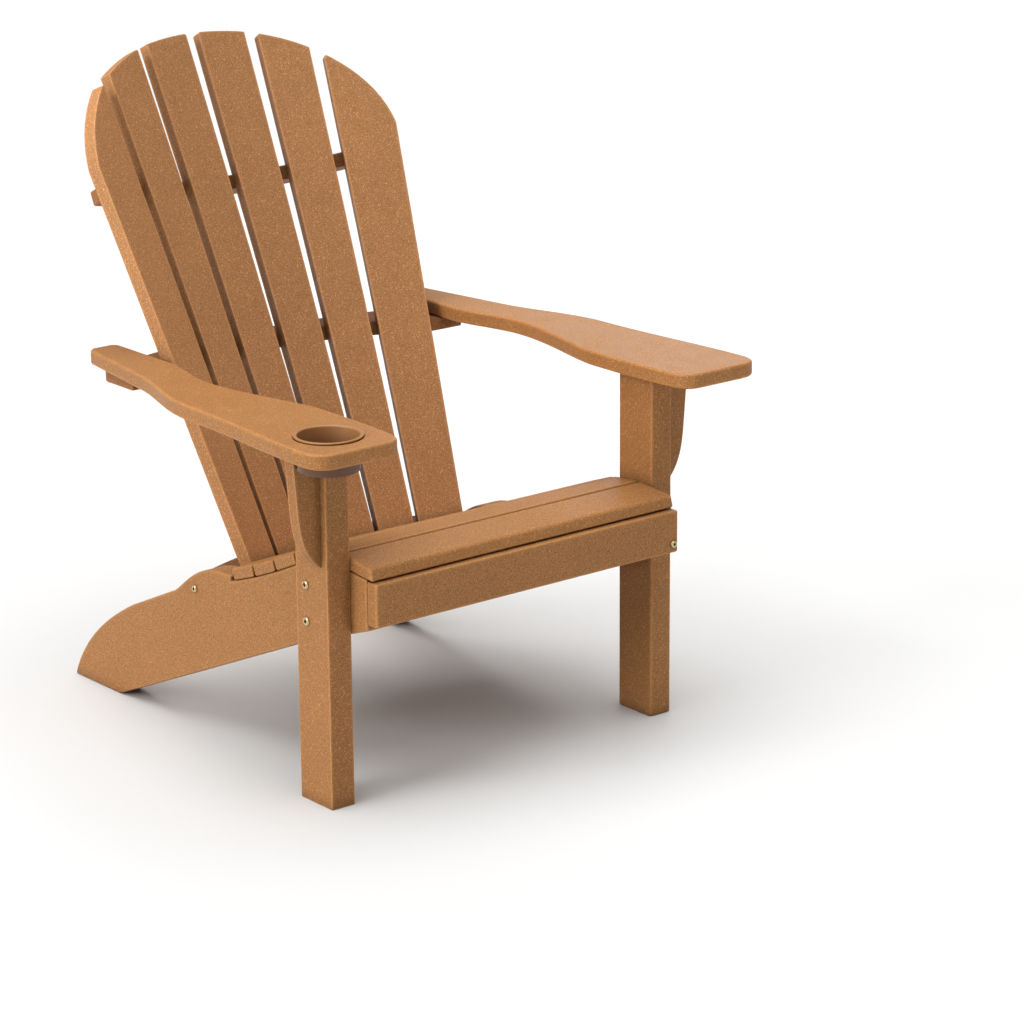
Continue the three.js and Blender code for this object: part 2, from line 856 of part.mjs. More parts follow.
function cupProfile() {
  const top = armTopHeight + gap;
  const bottom = armUnderside - cupDrop;
  const rim = cupRadius + cupRimReach;
  return [
    [cupDrainRadius, bottom],
    [cupBaseRadius - 2, bottom],
    [cupBaseRadius, bottom + 2],
    [cupRadius, top],
    [rim, top],
    [rim, top + cupRimHeight * 0.5],
    [rim - 1.5, top + cupRimHeight],
    [cupRadius - cupWall + 1, top + cupRimHeight],
    [cupRadius - cupWall, top + cupRimHeight * 0.5],
    [cupBaseRadius - cupWall, bottom + cupWall],
    [cupDrainRadius, bottom + cupWall],
    [cupDrainRadius, bottom],
  ].map(([r, h]) => new THREE.Vector2(r, h));
}

const cup = addPart('cup_holder', new THREE.LatheGeometry(cupProfile(), 32), cupPlastic);
cup.geometry.rotateX(Math.PI / 2);
cup.position.set(cupX, cupY, 0);

// Fasteners

const boltProfile = panProfile(boltRadius, boltHeadRadius, boltHeadHeight, boltLength);
const nutBore = (boltRadius + drillClearance) / Math.cos(Math.PI / 6);   // at its corners
const nutProfile = [
  [nutBore, 0],
  [nutRadius, 0],
  [nutRadius, nutHeight],
  [nutBore, nutHeight],
  [nutBore, 0],
];

for (const side of sides) {
  const axis = inward(side.sign);
  boltHeights.forEach((height, index) => {
    const label = index === 0 ? 'lower' : 'upper';
    addFastener(`${side.name}_leg_bolt_${label}`, boltProfile, boltSeat(side.sign, height), axis);
    const nutSeat = new THREE.Vector3(side.sign * railInnerX, boltY, height);
    const outwardAxis = axis.clone().negate();
    addFastener(`${side.name}_leg_nut_${label}`, nutProfile, nutSeat, outwardAxis, 6);
  });
  addFastener(
    `${side.name}_rail_screw`,
    panProfile(screwRadius, screwHeadRadius, screwHeadHeight, railScrewLength),
    railScrewSeat(side.sign),
    axis,
  );
  addFastener(
    `${side.name}_arm_screw`,
    plainProfile(screwRadius, screwHeadRadius, screwHeadHeight, armScrewLength),
    armScrewSeat(side.sign),
    upward,
  );
}

addFastener(
  'left_apron_screw',
  panProfile(screwRadius, screwHeadRadius, screwHeadHeight, apronScrewLength),
  apronScrewSeat,
  rearward,
);

for (const screw of backScrews) {
  addFastener(
    `${screw.brace}_brace_screw_${screw.slat}`,
    plainProfile(screwRadius, screwHeadRadius, screwHeadHeight, backScrewLength),
    screw.seat,
    screw.direction,
  );
}

// Origin

// The origin is the middle of the chair's footprint box, on the ground.
const bounds = new THREE.Box3().setFromObject(chair);
const middle = bounds.getCenter(new THREE.Vector3());
chair.position.set(0, -middle.y, 0);

export default chair;
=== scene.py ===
import math

import bmesh
import bpy
from mathutils import Matrix, Vector


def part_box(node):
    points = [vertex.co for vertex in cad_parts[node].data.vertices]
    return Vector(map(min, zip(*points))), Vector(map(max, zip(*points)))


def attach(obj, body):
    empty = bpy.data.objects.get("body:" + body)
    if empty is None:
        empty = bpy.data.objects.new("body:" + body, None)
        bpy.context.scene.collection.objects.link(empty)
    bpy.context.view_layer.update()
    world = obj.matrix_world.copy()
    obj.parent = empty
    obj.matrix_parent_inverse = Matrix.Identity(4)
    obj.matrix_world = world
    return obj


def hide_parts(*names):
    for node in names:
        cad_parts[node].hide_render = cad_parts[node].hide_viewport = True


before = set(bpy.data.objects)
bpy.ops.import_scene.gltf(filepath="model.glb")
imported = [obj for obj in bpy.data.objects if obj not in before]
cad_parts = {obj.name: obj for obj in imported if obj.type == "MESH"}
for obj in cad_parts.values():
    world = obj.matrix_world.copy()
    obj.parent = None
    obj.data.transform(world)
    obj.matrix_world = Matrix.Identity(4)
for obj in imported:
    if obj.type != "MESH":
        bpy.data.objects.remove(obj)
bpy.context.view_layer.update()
scene = bpy.context.scene
mm = 0.001
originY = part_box("right_front_leg")[0].y / mm     # front faces of the front legs
print("frame loaded,", len(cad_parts), "nodes")

# Distances below are millimetres, x to the sitter's left, y to the rear from the
# front faces of the front legs, z up from the ground.

cameraSet = {
    "place": (-2987.8, -3711.8, 1806.1),
    "azimuth": -38.99,
    "elevation": 16.889,
    "roll": -0.425,
    "lens": 126.04,
    "shift": (-0.0029, 0.0046),
}


def toRow(point):
    return Vector((point[0], point[1] + originY, point[2])) * mm


def placeCamera():
    data = bpy.data.cameras.new("chairCamera")
    camera = bpy.data.objects.new("chairCamera", data)
    scene.collection.objects.link(camera)
    turn = math.radians(cameraSet["azimuth"])
    rise = math.radians(cameraSet["elevation"])
    level = math.cos(rise)
    back = Vector((math.sin(turn) * level, -math.cos(turn) * level, math.sin(rise)))
    aim = (-back).to_track_quat("-Z", "Y").to_matrix()
    aim = aim @ Matrix.Rotation(math.radians(cameraSet["roll"]), 3, "Z")
    camera.matrix_world = Matrix.Translation(toRow(cameraSet["place"])) @ aim.to_4x4()
    data.lens = cameraSet["lens"]
    data.shift_x, data.shift_y = cameraSet["shift"]
    data.clip_start = 0.1
    data.clip_end = 100
    scene.camera = camera


placeCamera()
print("camera placed")


def nodeGroup(name, kind, inputs, outputs):
    tree = bpy.data.node_groups.new(name, kind)
    for label, socket, value in inputs:
        made = tree.interface.new_socket(label, in_out="INPUT", socket_type=socket)
        if value is not None:
            made.default_value = value
    for label, socket in outputs:
        tree.interface.new_socket(label, in_out="OUTPUT", socket_type=socket)
    return tree, tree.nodes.new("NodeGroupInput"), tree.nodes.new("NodeGroupOutput")


def addNode(tree, kind, **settings):
    node = tree.nodes.new(kind)
    for key, value in settings.items():
        setattr(node, key, value)
    return node


def setInputs(node, values):
    for label, value in values.items():
        node.inputs[label].default_value = value


# Puts plain values on a node's sockets, and links other nodes' outputs to them.
def feed(tree, node, values):
    for label, value in values.items():
        if isinstance(value, (int, float, tuple)):
            node.inputs[label].default_value = value
        else:
            tree.links.new(value, node.inputs[label])


def noise(tree, vector, scale, detail, rough=0.5):
    node = addNode(tree, "ShaderNodeTexNoise")
    setInputs(node, {"Detail": detail, "Roughness": rough})
    feed(tree, node, {"Vector": vector, "Scale": scale})
    return node.outputs["Fac"]


def spread(tree, value, low, high, toLow, toHigh):
    node = addNode(tree, "ShaderNodeMapRange")
    limits = {"From Min": low, "From Max": high, "To Min": toLow, "To Max": toHigh}
    feed(tree, node, limits | {"Value": value})
    return node.outputs["Result"]


def sums(tree, operation, a, b):
    node = addNode(tree, "ShaderNodeMath", operation=operation)
    feed(tree, node, {0: a, 1: b})
    return node.outputs[0]


def blendColours(tree, mask, a, b):
    node = addNode(tree, "ShaderNodeMix", data_type="RGBA", blend_type="MIX")
    feed(tree, node, {0: mask, 6: a, 7: b})
    return node.outputs[2]


# Recycled-plastic lumber: fine dark and light flecks through the whole board, and slow
# cloudy mottling.
def makeLumberGroup():
    tree, given, result = nodeGroup(
        "polyLumber",
        "ShaderNodeTree",
        [
            ("Vector", "NodeSocketVector", None),
            ("Body", "NodeSocketColor", None),
            ("Fleck", "NodeSocketColor", None),
            ("Bloom", "NodeSocketColor", None),
            ("Fleck Size", "NodeSocketFloat", 1050.0),
            ("Fleck Amount", "NodeSocketFloat", 0.5),
            ("Tone", "NodeSocketFloat", 0.0),
            ("Roughness", "NodeSocketFloat", 0.5),
        ],
        [
            ("Color", "NodeSocketColor"),
            ("Roughness", "NodeSocketFloat"),
            ("Height", "NodeSocketFloat"),
        ],
    )
    vector = given.outputs["Vector"]
    fine = noise(tree, vector, given.outputs["Fleck Size"], 2.0, 0.6)
    grit = noise(tree, vector, sums(tree, "MULTIPLY", given.outputs["Fleck Size"], 0.45), 3.0, 0.7)
    cloud = noise(tree, vector, 34.0, 3.0, 0.55)
    drift = noise(tree, vector, 5.0, 2.0, 0.5)
    darkFleck = spread(tree, fine, 0.5, 0.36, 0.0, given.outputs["Fleck Amount"])
    lightFleck = spread(tree, grit, 0.54, 0.7, 0.0, given.outputs["Fleck Amount"])
    colour = blendColours(tree, darkFleck, given.outputs["Body"], given.outputs["Fleck"])
    colour = blendColours(tree, lightFleck, colour, given.outputs["Bloom"])
    cloudTone = spread(tree, cloud, 0.3, 0.7, -0.035, 0.035)
    driftTone = spread(tree, drift, 0.3, 0.7, -0.03, 0.03)
    tone = sums(tree, "ADD", sums(tree, "ADD", cloudTone, driftTone), given.outputs["Tone"])
    brighten = addNode(tree, "ShaderNodeHueSaturation")
    tree.links.new(sums(tree, "ADD", tone, 1.0), brighten.inputs["Value"])
    tree.links.new(colour, brighten.inputs["Color"])
    tree.links.new(brighten.outputs["Color"], result.inputs["Color"])
    scuff = spread(tree, cloud, 0.3, 0.7, -0.05, 0.06)
    tree.links.new(sums(tree, "ADD", given.outputs["Roughness"], scuff), result.inputs["Roughness"])
    fineHeight = sums(tree, "MULTIPLY", fine, 0.6)
    gritHeight = sums(tree, "MULTIPLY", grit, 0.8)
    tree.links.new(sums(tree, "ADD", fineHeight, gritHeight), result.inputs["Height"])
    return tree


lumberGroup = makeLumberGroup()


# Edges, where a small rounding would turn the surface, get a painted highlight and a
# smoother rubbed finish; gaps and corners get painted shade. Noise breaks both up.
def makePaintedLightGroup():
    tree, given, result = nodeGroup(
        "paintedEdgeLightAndShade",
        "ShaderNodeTree",
        [
            ("Vector", "NodeSocketVector", None),
            ("Edge Radius", "NodeSocketFloat", 0.006),
            ("Edge Mask Strength", "NodeSocketFloat", 0.6),
            ("Painted Shade Strength", "NodeSocketFloat", 0.8),
        ],
        [("Edge Highlight And Polish", "NodeSocketFloat"), ("Painted Shade", "NodeSocketFloat")],
    )
    # Painted highlight: this edge mask lightens the base colour along rounded edges, and also makes
    # them smoother.
    rounded = addNode(tree, "ShaderNodeBevel")
    rounded.samples = 4
    tree.links.new(given.outputs["Edge Radius"], rounded.inputs["Radius"])
    surface = addNode(tree, "ShaderNodeNewGeometry")
    facingSame = addNode(tree, "ShaderNodeVectorMath", operation="DOT_PRODUCT")
    tree.links.new(rounded.outputs["Normal"], facingSame.inputs[0])
    tree.links.new(surface.outputs["True Normal"], facingSame.inputs[1])
    turned = facingSame.outputs["Value"]
    edge = spread(tree, turned, 0.995, 0.9, 0.0, given.outputs["Edge Mask Strength"])
    patches = noise(tree, given.outputs["Vector"], 90.0, 3.0, 0.6)
    broken = spread(tree, patches, 0.3, 0.6, 0.55, 1.0)
    tree.links.new(sums(tree, "MULTIPLY", edge, broken), result.inputs["Edge Highlight And Polish"])
    # Painted shade: ambient occlusion within 3 cm darkens gaps and corners.
    hollow = addNode(tree, "ShaderNodeAmbientOcclusion")
    hollow.samples = 6
    hollow.inputs["Distance"].default_value = 0.03
    paintedShade = spread(tree, hollow.outputs["AO"], 0.82, 0.4, 0.0, given.outputs["Painted Shade Strength"])
    tree.links.new(sums(tree, "MULTIPLY", paintedShade, broken), result.inputs["Painted Shade"])
    return tree


paintedLightGroup = makePaintedLightGroup()

# Shares of the body colour that every board's flecks, painted edge highlights and painted shade
# take.
lumberShares = {"fleck": 0.36, "bloom": 1.95, "edgeHighlightAndPolish": 1.9, "paintedShade": 0.3, "fleckAmount": 0.95}
lumberGloss = {"level": 0.2, "tint": (1.0, 0.78, 0.58, 1.0), "edgePolish": -0.18}
lumberGrain = {"strength": 0.35, "distance": 0.0006}
# The back slats' copy is painted lighter, as painted light on slats that face the light; the
# braces' copy is painted darker, as painted shade behind the back and under the arms.
lumberFinishes = {
    "sideLumber": {"body": (0.345, 0.158, 0.056), "roughness": 0.52},
    "seatLumber": {"body": (0.340, 0.156, 0.055), "roughness": 0.5},
    "backLumber": {"body": (0.386, 0.182, 0.074), "roughness": 0.54},
    "armLumber": {"body": (0.352, 0.160, 0.055), "roughness": 0.46},
    "braceLumber": {"body": (0.300, 0.130, 0.048), "roughness": 0.58},
}


def shaded(colour, share):
    return tuple(channel * share for channel in colour) + (1.0,)


def newMaterial(name):
    material = bpy.data.materials.new(name)
    material.use_nodes = True
    tree = material.node_tree
    return material, tree, tree.nodes["Principled BSDF"]


def addBump(tree, height, shader, strength, distance):
    bump = addNode(tree, "ShaderNodeBump")
    setInputs(bump, {"Strength": strength, "Distance": distance})
    tree.links.new(height, bump.inputs["Height"])
    tree.links.new(bump.outputs["Normal"], shader.inputs["Normal"])


def makeLumber(name, finish):
    material, tree, shader = newMaterial(name)
    place = addNode(tree, "ShaderNodeTexCoord")
    tone = addNode(tree, "ShaderNodeAttribute", attribute_name="boardTone")
    group = addNode(tree, "ShaderNodeGroup", node_tree=lumberGroup)
    tree.links.new(place.outputs["Object"], group.inputs["Vector"])
    tree.links.new(tone.outputs["Fac"], group.inputs["Tone"])
    body = finish["body"]
    setInputs(group, {
        "Body": shaded(body, 1),
        "Fleck": shaded(body, lumberShares["fleck"]),
        "Bloom": shaded(body, lumberShares["bloom"]),
        "Fleck Amount": lumberShares["fleckAmount"],
        "Roughness": finish["roughness"],
    })
    lightMasks = addNode(tree, "ShaderNodeGroup", node_tree=paintedLightGroup)
    tree.links.new(place.outputs["Object"], lightMasks.inputs["Vector"])
    edgeHighlightAndPolish, paintedShade = lightMasks.outputs["Edge Highlight And Polish"], lightMasks.outputs["Painted Shade"]
    # Painted highlight on the rounded edges, then painted shade in gaps and corners, both mixed
    # into the base colour.
    colour = blendColours(tree, edgeHighlightAndPolish, group.outputs["Color"], shaded(body, lumberShares["edgeHighlightAndPolish"]))
    colour = blendColours(tree, paintedShade, colour, shaded(body, lumberShares["paintedShade"]))
    tree.links.new(colour, shader.inputs["Base Color"])
    polish = sums(tree, "MULTIPLY", edgeHighlightAndPolish, lumberGloss["edgePolish"])
    roughness = sums(tree, "ADD", group.outputs["Roughness"], polish)
    tree.links.new(roughness, shader.inputs["Roughness"])
    gloss = {"Specular IOR Level": lumberGloss["level"], "Specular Tint": lumberGloss["tint"]}
    setInputs(shader, gloss)
    addBump(tree, group.outputs["Height"], shader, lumberGrain["strength"], lumberGrain["distance"])
    return material


lumber = {name: makeLumber(name, finish) for name, finish in lumberFinishes.items()}


# Moulded cup: the same colour family, smoother, with a soft mould grain.
cupFinish = {
    # Painted shade: the body below the lip is painted near-black for the shaded inside of the cup.
    "body": (0.115, 0.042, 0.013),
    "lip": (0.35, 0.159, 0.055),
    "fleck": 0.7,
    "bloom": 1.35,
    "fleckAmount": 0.3,
    "grain": 1200.0,
    "roughness": 0.44,
}


def makeCupPlastic():
    material, tree, shader = newMaterial("cupPlastic")
    place = addNode(tree, "ShaderNodeTexCoord")
    group = addNode(tree, "ShaderNodeGroup", node_tree=lumberGroup)
    tree.links.new(place.outputs["Object"], group.inputs["Vector"])
    lip = addNode(tree, "ShaderNodeAttribute", attribute_name="lip")
    body = cupFinish["body"]
    base = blendColours(tree, lip.outputs["Fac"], shaded(body, 1), shaded(cupFinish["lip"], 1))
    tree.links.new(base, group.inputs["Body"])
    setInputs(group, {
        "Fleck": shaded(body, cupFinish["fleck"]),
        "Bloom": shaded(body, cupFinish["bloom"]),
        "Fleck Size": cupFinish["grain"],
        "Fleck Amount": cupFinish["fleckAmount"],
        "Roughness": cupFinish["roughness"],
    })
    tree.links.new(group.outputs["Color"], shader.inputs["Base Color"])
    tree.links.new(group.outputs["Roughness"], shader.inputs["Roughness"])
    addBump(tree, group.outputs["Height"], shader, 0.12, 0.0003)
    return material


# Pale brass, a little tarnished, with painted shade darkening the socket.
brassFinish = {
    "bright": (0.66, 0.50, 0.28, 1.0),
    "tarnish": (0.36, 0.23, 0.11, 1.0),
    "paintedShade": (0.05, 0.032, 0.02, 1.0),
}


def makeBrass():
    material, tree, shader = newMaterial("paleBrass")
    place = addNode(tree, "ShaderNodeTexCoord")
    recess = addNode(tree, "ShaderNodeAttribute", attribute_name="recess")
    patches = noise(tree, place.outputs["Object"], 420.0, 4.0, 0.6)
    scratches = noise(tree, place.outputs["Object"], 1500.0, 2.0, 0.6)
    tarnish = spread(tree, patches, 0.45, 0.7, 0.0, 0.6)
    colour = blendColours(tree, tarnish, brassFinish["bright"], brassFinish["tarnish"])
    # Painted shade: the socket walls are painted near-black and made less metallic.
    colour = blendColours(tree, recess.outputs["Fac"], colour, brassFinish["paintedShade"])
    tree.links.new(colour, shader.inputs["Base Color"])
    metal = spread(tree, recess.outputs["Fac"], 0.0, 1.0, 0.9, 0.2)
    tree.links.new(metal, shader.inputs["Metallic"])
    tree.links.new(spread(tree, scratches, 0.3, 0.7, 0.26, 0.44), shader.inputs["Roughness"])
    addBump(tree, scratches, shader, 0.1, 0.0002)
    return material


cupPlastic = makeCupPlastic()
paleBrass = makeBrass()
print("finishes mixed:", ", ".join(m.name for m in bpy.data.materials))


def linkPiece(name, mesh):
    piece = bpy.data.objects.new(name, mesh)
    scene.collection.objects.link(piece)
    return piece


# Turns a built shell into a piece, its faces pointing outwards.
def closeShell(name, shell, sharpAngle=None):
    bmesh.ops.recalc_face_normals(shell, faces=shell.faces)
    mesh = bpy.data.meshes.new(name)
    shell.to_mesh(mesh)
    shell.free()
    mesh.shade_smooth()
    if sharpAngle is not None:
        mesh.set_sharp_from_angle(angle=math.radians(sharpAngle))
    return linkPiece(name, mesh)


def bridgeRings(shell, near, far):
    for i in range(len(near)):
        j = (i + 1) % len(near)
        shell.faces.new((near[i], near[j], far[j], far[i]))


def circle(radius, sides):
    angles = [2 * math.pi * i / sides for i in range(sides)]
    return [(radius * math.cos(angle), radius * math.sin(angle)) for angle in angles]


# A board from an outline in two directions, thick in the third. The far face may have
# an outline of its own.
def makeBoard(name, outline, axes, start, thickness, farOutline=None):
    across, along, deep = (Vector(axis) for axis in axes)
    shell = bmesh.new()
    rings = []
    for depth, points in ((0, outline), (thickness, farOutline or outline)):
        rings.append([
            shell.verts.new(toRow(Vector(start) + across * a + along * b + deep * depth))
            for a, b in points
        ])
    near, far = rings
    shell.faces.new(near)
    shell.faces.new(far)
    bridgeRings(shell, near, far)
    return closeShell(name, shell)


flat = ((1, 0, 0), (0, 1, 0), (0, 0, 1))          # outline in x and y, thick upwards
onEdge = ((0, 1, 0), (0, 0, 1), (1, 0, 0))        # outline in y and z, thick across
facing = ((1, 0, 0), (0, 0, 1), (0, 1, 0))        # outline in x and z, thick rearwards


# Corners sharper than this turn get an arc of the given radius.
def softenCorners(outline, radius, steps=5, sharpest=24):
    softened = []
    for i, corner in enumerate(outline):
        point = Vector(corner)
        before = Vector(outline[i - 1]) - point
        after = Vector(outline[(i + 1) % len(outline)]) - point
        opening = before.angle(after)
        if 180 - math.degrees(opening) < sharpest:
            softened.append(tuple(point))
            continue
        reach = min(radius / math.tan(opening / 2), before.length * 0.45, after.length * 0.45)
        arc = reach * math.tan(opening / 2)
        middle = (before.normalized() + after.normalized()).normalized()
        centre = point + middle * (arc / math.sin(opening / 2))
        first = point + before.normalized() * reach - centre
        last = point + after.normalized() * reach - centre
        for step in range(steps + 1):
            share = step / steps
            ray = (first * (1 - share) + last * share).normalized()
            softened.append(tuple(centre + ray * arc))
    return softened


def bezier(a, b, c, d, steps=14):
    points = []
    for step in range(1, steps + 1):
        t = step / steps
        s = 1 - t
        points.append(tuple(
            s ** 3 * p + 3 * s * s * t * q + 3 * s * t * t * r + t ** 3 * e
            for p, q, r, e in zip(a, b, c, d)
        ))
    return points


def quadratic(a, b, c, steps=12):
    one = tuple(p + (q - p) * 2 / 3 for p, q in zip(a, b))
    two = tuple(r + (q - r) * 2 / 3 for r, q in zip(c, b))
    return bezier(a, one, two, c, steps)


# Takes the cutter's shape out of the piece and clears the cutter.
def cutAway(piece, cutter):
    knife = piece.modifiers.new("cut", "BOOLEAN")
    knife.object = cutter
    knife.operation = "DIFFERENCE"
    knife.solver = "EXACT"
    depsgraph = bpy.context.evaluated_depsgraph_get()
    mesh = bpy.data.meshes.new_from_object(piece.evaluated_get(depsgraph), depsgraph=depsgraph)
    piece.modifiers.clear()
    old = piece.data
    piece.data = mesh
    bpy.data.meshes.remove(old)
    bpy.data.objects.remove(cutter)
    mesh.shade_smooth()


def easeEdges(piece, radius, segments=3):
    bevel = piece.modifiers.new("easedEdges", "BEVEL")
    bevel.width = radius * mm
    bevel.segments = segments
    bevel.limit_method = "ANGLE"
    bevel.angle_limit = math.radians(32)
    bevel.harden_normals = True


def setTone(mesh, tone):
    layer = mesh.attributes.new("boardTone", "FLOAT", "POINT")
    layer.data.foreach_set("value", [tone] * len(mesh.vertices))


def fitPiece(piece, material, slot, *nodes, tone=None):
    if tone is not None:
        setTone(piece.data, tone)
    if material is not None:
        piece.data.materials.clear()
        piece.data.materials.append(material)
    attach(piece, "root")
    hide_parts(*nodes)


def takeResult(name, host):
    depsgraph = bpy.context.evaluated_depsgraph_get()
    mesh = bpy.data.meshes.new_from_object(
        host.evaluated_get(depsgraph),
        preserve_all_data_layers=True,
        depsgraph=depsgraph,
    )
    bpy.data.objects.remove(host)
    return linkPiece(name, mesh)


# Links each node's output to the next node's input.
def wire(tree, pairs):
    for source, output, target, socket in pairs:
        tree.links.new(source.outputs[output], target.inputs[socket])


# Real copies with their finish on, at the end of a tree.
def closeRun(tree, copies, given, result):
    realize = addNode(tree, "GeometryNodeRealizeInstances")
    finish = addNode(tree, "GeometryNodeSetMaterial")
    tree.links.new(copies, realize.inputs["Geometry"])
    wire(tree, [
        (realize, "Geometry", finish, "Geometry"),
        (given, "Finish", finish, "Material"),
        (finish, "Geometry", result, "Geometry"),
    ])


# Runs a node tree on the host, its inputs set by their own labels.
def runTree(host, tree, values):
    run = host.modifiers.new("run", "NODES")
    run.node_group = tree
    for item in tree.interface.items_tree:
        if item.item_type == "SOCKET" and item.in_out == "INPUT" and item.name in values:
            run[item.identifier] = values[item.name]


sideNames = {"right": -1, "left": 1}

frameSet = {
    "legOuter": 307.5,
    "legWidth": 38.0,
    "legDepth": 72.0,
    "legTop": 515.7,
    "railWidth": 38.0,
    "railFront": -36.0,
    "footStart": 589.0,
    "footEnd": 711.0,
    "humpEnd": 310.0,
    "humpHeight": 258.5,
    "bend": (100.0, 210.5),
    "frontBottom": 259.2,
    "gap": 0.3,
    "edge": 3.0,
    "toneShift": 0.01,
}
legInner = frameSet["legOuter"] - frameSet["legWidth"]
railOuter = legInner - frameSet["gap"]
railInner = railOuter - frameSet["railWidth"]

seatSet = {
    "thickness": 18.0,
    "frontHeight": 349.5,
    "frontY": -44.0,
    "frontWidth": 68.0,
    "width": 51.0,
    "gap": 4.0,
    "angles": [4.5, -5.0, -20.0, -24.0, -22.0, -19.0],
    "noseReach": 7.0,
    "edge": 3.6,
    "toBack": 4.0,
}

cupSet = {
    "x": -316.0,
    "y": -22.0,
    "radius": 45.0,
    "baseRadius": 42.0,
    "wall": 3.0,
    "rimReach": 2.4,
    "rimHeight": 2.6,
    "armTop": 538.0,
    "bottom": 492.0,
    "drain": 5.0,
    "clearance": 0.6,
    "legClearance": 1.0,
    "cutterSides": 72,
}


def seatFacets():
    facets = []
    y, z = seatSet["frontY"], seatSet["frontHeight"]
    angles = [math.radians(a) for a in seatSet["angles"]]
    for index, angle in enumerate(angles):
        width = seatSet["frontWidth"] if index == 0 else seatSet["width"]
        facet = {"y": y, "z": z, "angle": angle, "width": width}
        facet["endY"] = y + width * math.cos(angle)
        facet["endZ"] = z + width * math.sin(angle)
        facets.append(facet)
        following = angles[index + 1] if index + 1 < len(angles) else angle
        between = (angle + following) / 2
        y = facet["endY"] + seatSet["gap"] * math.cos(between)
        z = facet["endZ"] + seatSet["gap"] * math.sin(between)
    return facets


def underFacet(facet, along, depth):
    return (
        facet["y"] + along * math.cos(facet["angle"]) + depth * math.sin(facet["angle"]),
        facet["z"] + along * math.sin(facet["angle"]) - depth * math.cos(facet["angle"]),
    )


facets = seatFacets()
bedDepth = seatSet["thickness"] + frameSet["gap"]


def bedHeight(facet, y):
    start = underFacet(facet, 0, bedDepth)
    return start[1] + (y - start[0]) * math.tan(facet["angle"])


def bedCorner(front, rear):
    a, b = underFacet(front, 0, bedDepth), underFacet(rear, 0, bedDepth)
    slopeA, slopeB = math.tan(front["angle"]), math.tan(rear["angle"])
    y = (b[1] - a[1] + slopeA * a[0] - slopeB * b[0]) / (slopeA - slopeB)
    return y, bedHeight(front, y)


def railOutline():
    foot, hump = frameSet["footEnd"], (frameSet["humpEnd"], frameSet["humpHeight"])
    points = [(frameSet["footStart"], 0), (foot, 0)]
    points += quadratic((foot, 0), (foot - 33, 82), (foot - 164, 150), 16)
    points.append((foot - 275, 199.7))
    points += bezier(points[-1], (foot - 301, 211.4), (hump[0] + 68, hump[1] - 2), hump, 16)
    step = facets[-1]["endY"] + 3
    points.append((step, hump[1]))
    points.append((step, bedHeight(facets[-1], step)))
    for index in range(len(facets) - 1, 0, -1):
        points.append(bedCorner(facets[index - 1], facets[index]))
    points.append((frameSet["railFront"], bedHeight(facets[0], frameSet["railFront"])))
    points.append((frameSet["railFront"], frameSet["frontBottom"]))
    points.append(frameSet["bend"])
    return points


# A drum round the cup's axis. The cup hangs into the right arm, and into the top corner
# of the right leg and its bracket.
def cupCutter(clearance, low, high):
    ring = circle(cupSet["radius"] + clearance, cupSet["cutterSides"])
    return makeBoard("cupCutter", ring, flat, (cupSet["x"], cupSet["y"], low), high - low)


def cutForCup(piece):
    clearance = cupSet["legClearance"]
    cutAway(piece, cupCutter(clearance, cupSet["bottom"] - clearance, cupSet["armTop"] + 40))


def makeLegsAndRails():
    outline = railOutline()
    for side, sign in sideNames.items():
        x = -frameSet["legOuter"] if sign < 0 else legInner
        square = [
            (x, 0),
            (x + frameSet["legWidth"], 0),
            (x + frameSet["legWidth"], frameSet["legDepth"]),
            (x, frameSet["legDepth"]),
        ]
        leg = makeBoard(side + "FrontLeg", square, flat, (0, 0, 0), frameSet["legTop"])
        if sign < 0:
            cutForCup(leg)
        easeEdges(leg, frameSet["edge"])
        tone = frameSet["toneShift"] * sign
        fitPiece(leg, lumber["sideLumber"], "side_lumber", side + "_front_leg", tone=tone)
        start = railInner if sign > 0 else -railOuter
        rail = makeBoard(side + "SideRail", outline, onEdge, (start, 0, 0), frameSet["railWidth"])
        easeEdges(rail, frameSet["edge"])
        fitPiece(rail, lumber["sideLumber"], "side_lumber", side + "_side_rail", tone=-tone)


bracketSet = {
    "width": 43.0,
    "taper": 8.0,
    "height": 171.0,
    "straight": 96.0,
    "front": 13.0,
    "thickness": 20.0,
    "edge": 3.0,
}


def makeBrackets():
    top = frameSet["legTop"]
    wide, taper = bracketSet["width"], bracketSet["taper"]
    for side, sign in sideNames.items():
        inner = frameSet["legOuter"] + frameSet["gap"]
        low = (wide - taper, top - bracketSet["straight"])
        profile = [(0, top), (wide, top), low]
        profile += bezier(
            low,
            (wide - taper - 4, low[1] - 35),
            (wide * 0.55, top - bracketSet["height"] + 18),
            (0, top - bracketSet["height"]),
            14,
        )
        outline = [(sign * (inner + a), z) for a, z in profile]
        bracket = makeBoard(
            side + "ArmBracket",
            outline,
            facing,
            (0, bracketSet["front"], 0),
            bracketSet["thickness"],
        )
        if sign < 0:
            cutForCup(bracket)
        easeEdges(bracket, bracketSet["edge"])
        fitPiece(bracket, lumber["sideLumber"], "side_lumber", side + "_arm_bracket", tone=0.0)


makeLegsAndRails()
makeBrackets()
print("legs, rails and brackets made")

armSet = {
    "top": 538.0,
    "thickness": 22.0,
    "front": -98.0,
    "outer": 81.5,
    "outerWaist": 64.5,
    "outerRear": -3.0,
    "innerFront": -67.5,
    "innerWaist": -30.5,
    "innerRear": -53.0,
    "edge": 3.6,
}
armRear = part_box("left_arm")[1].y / mm - originY


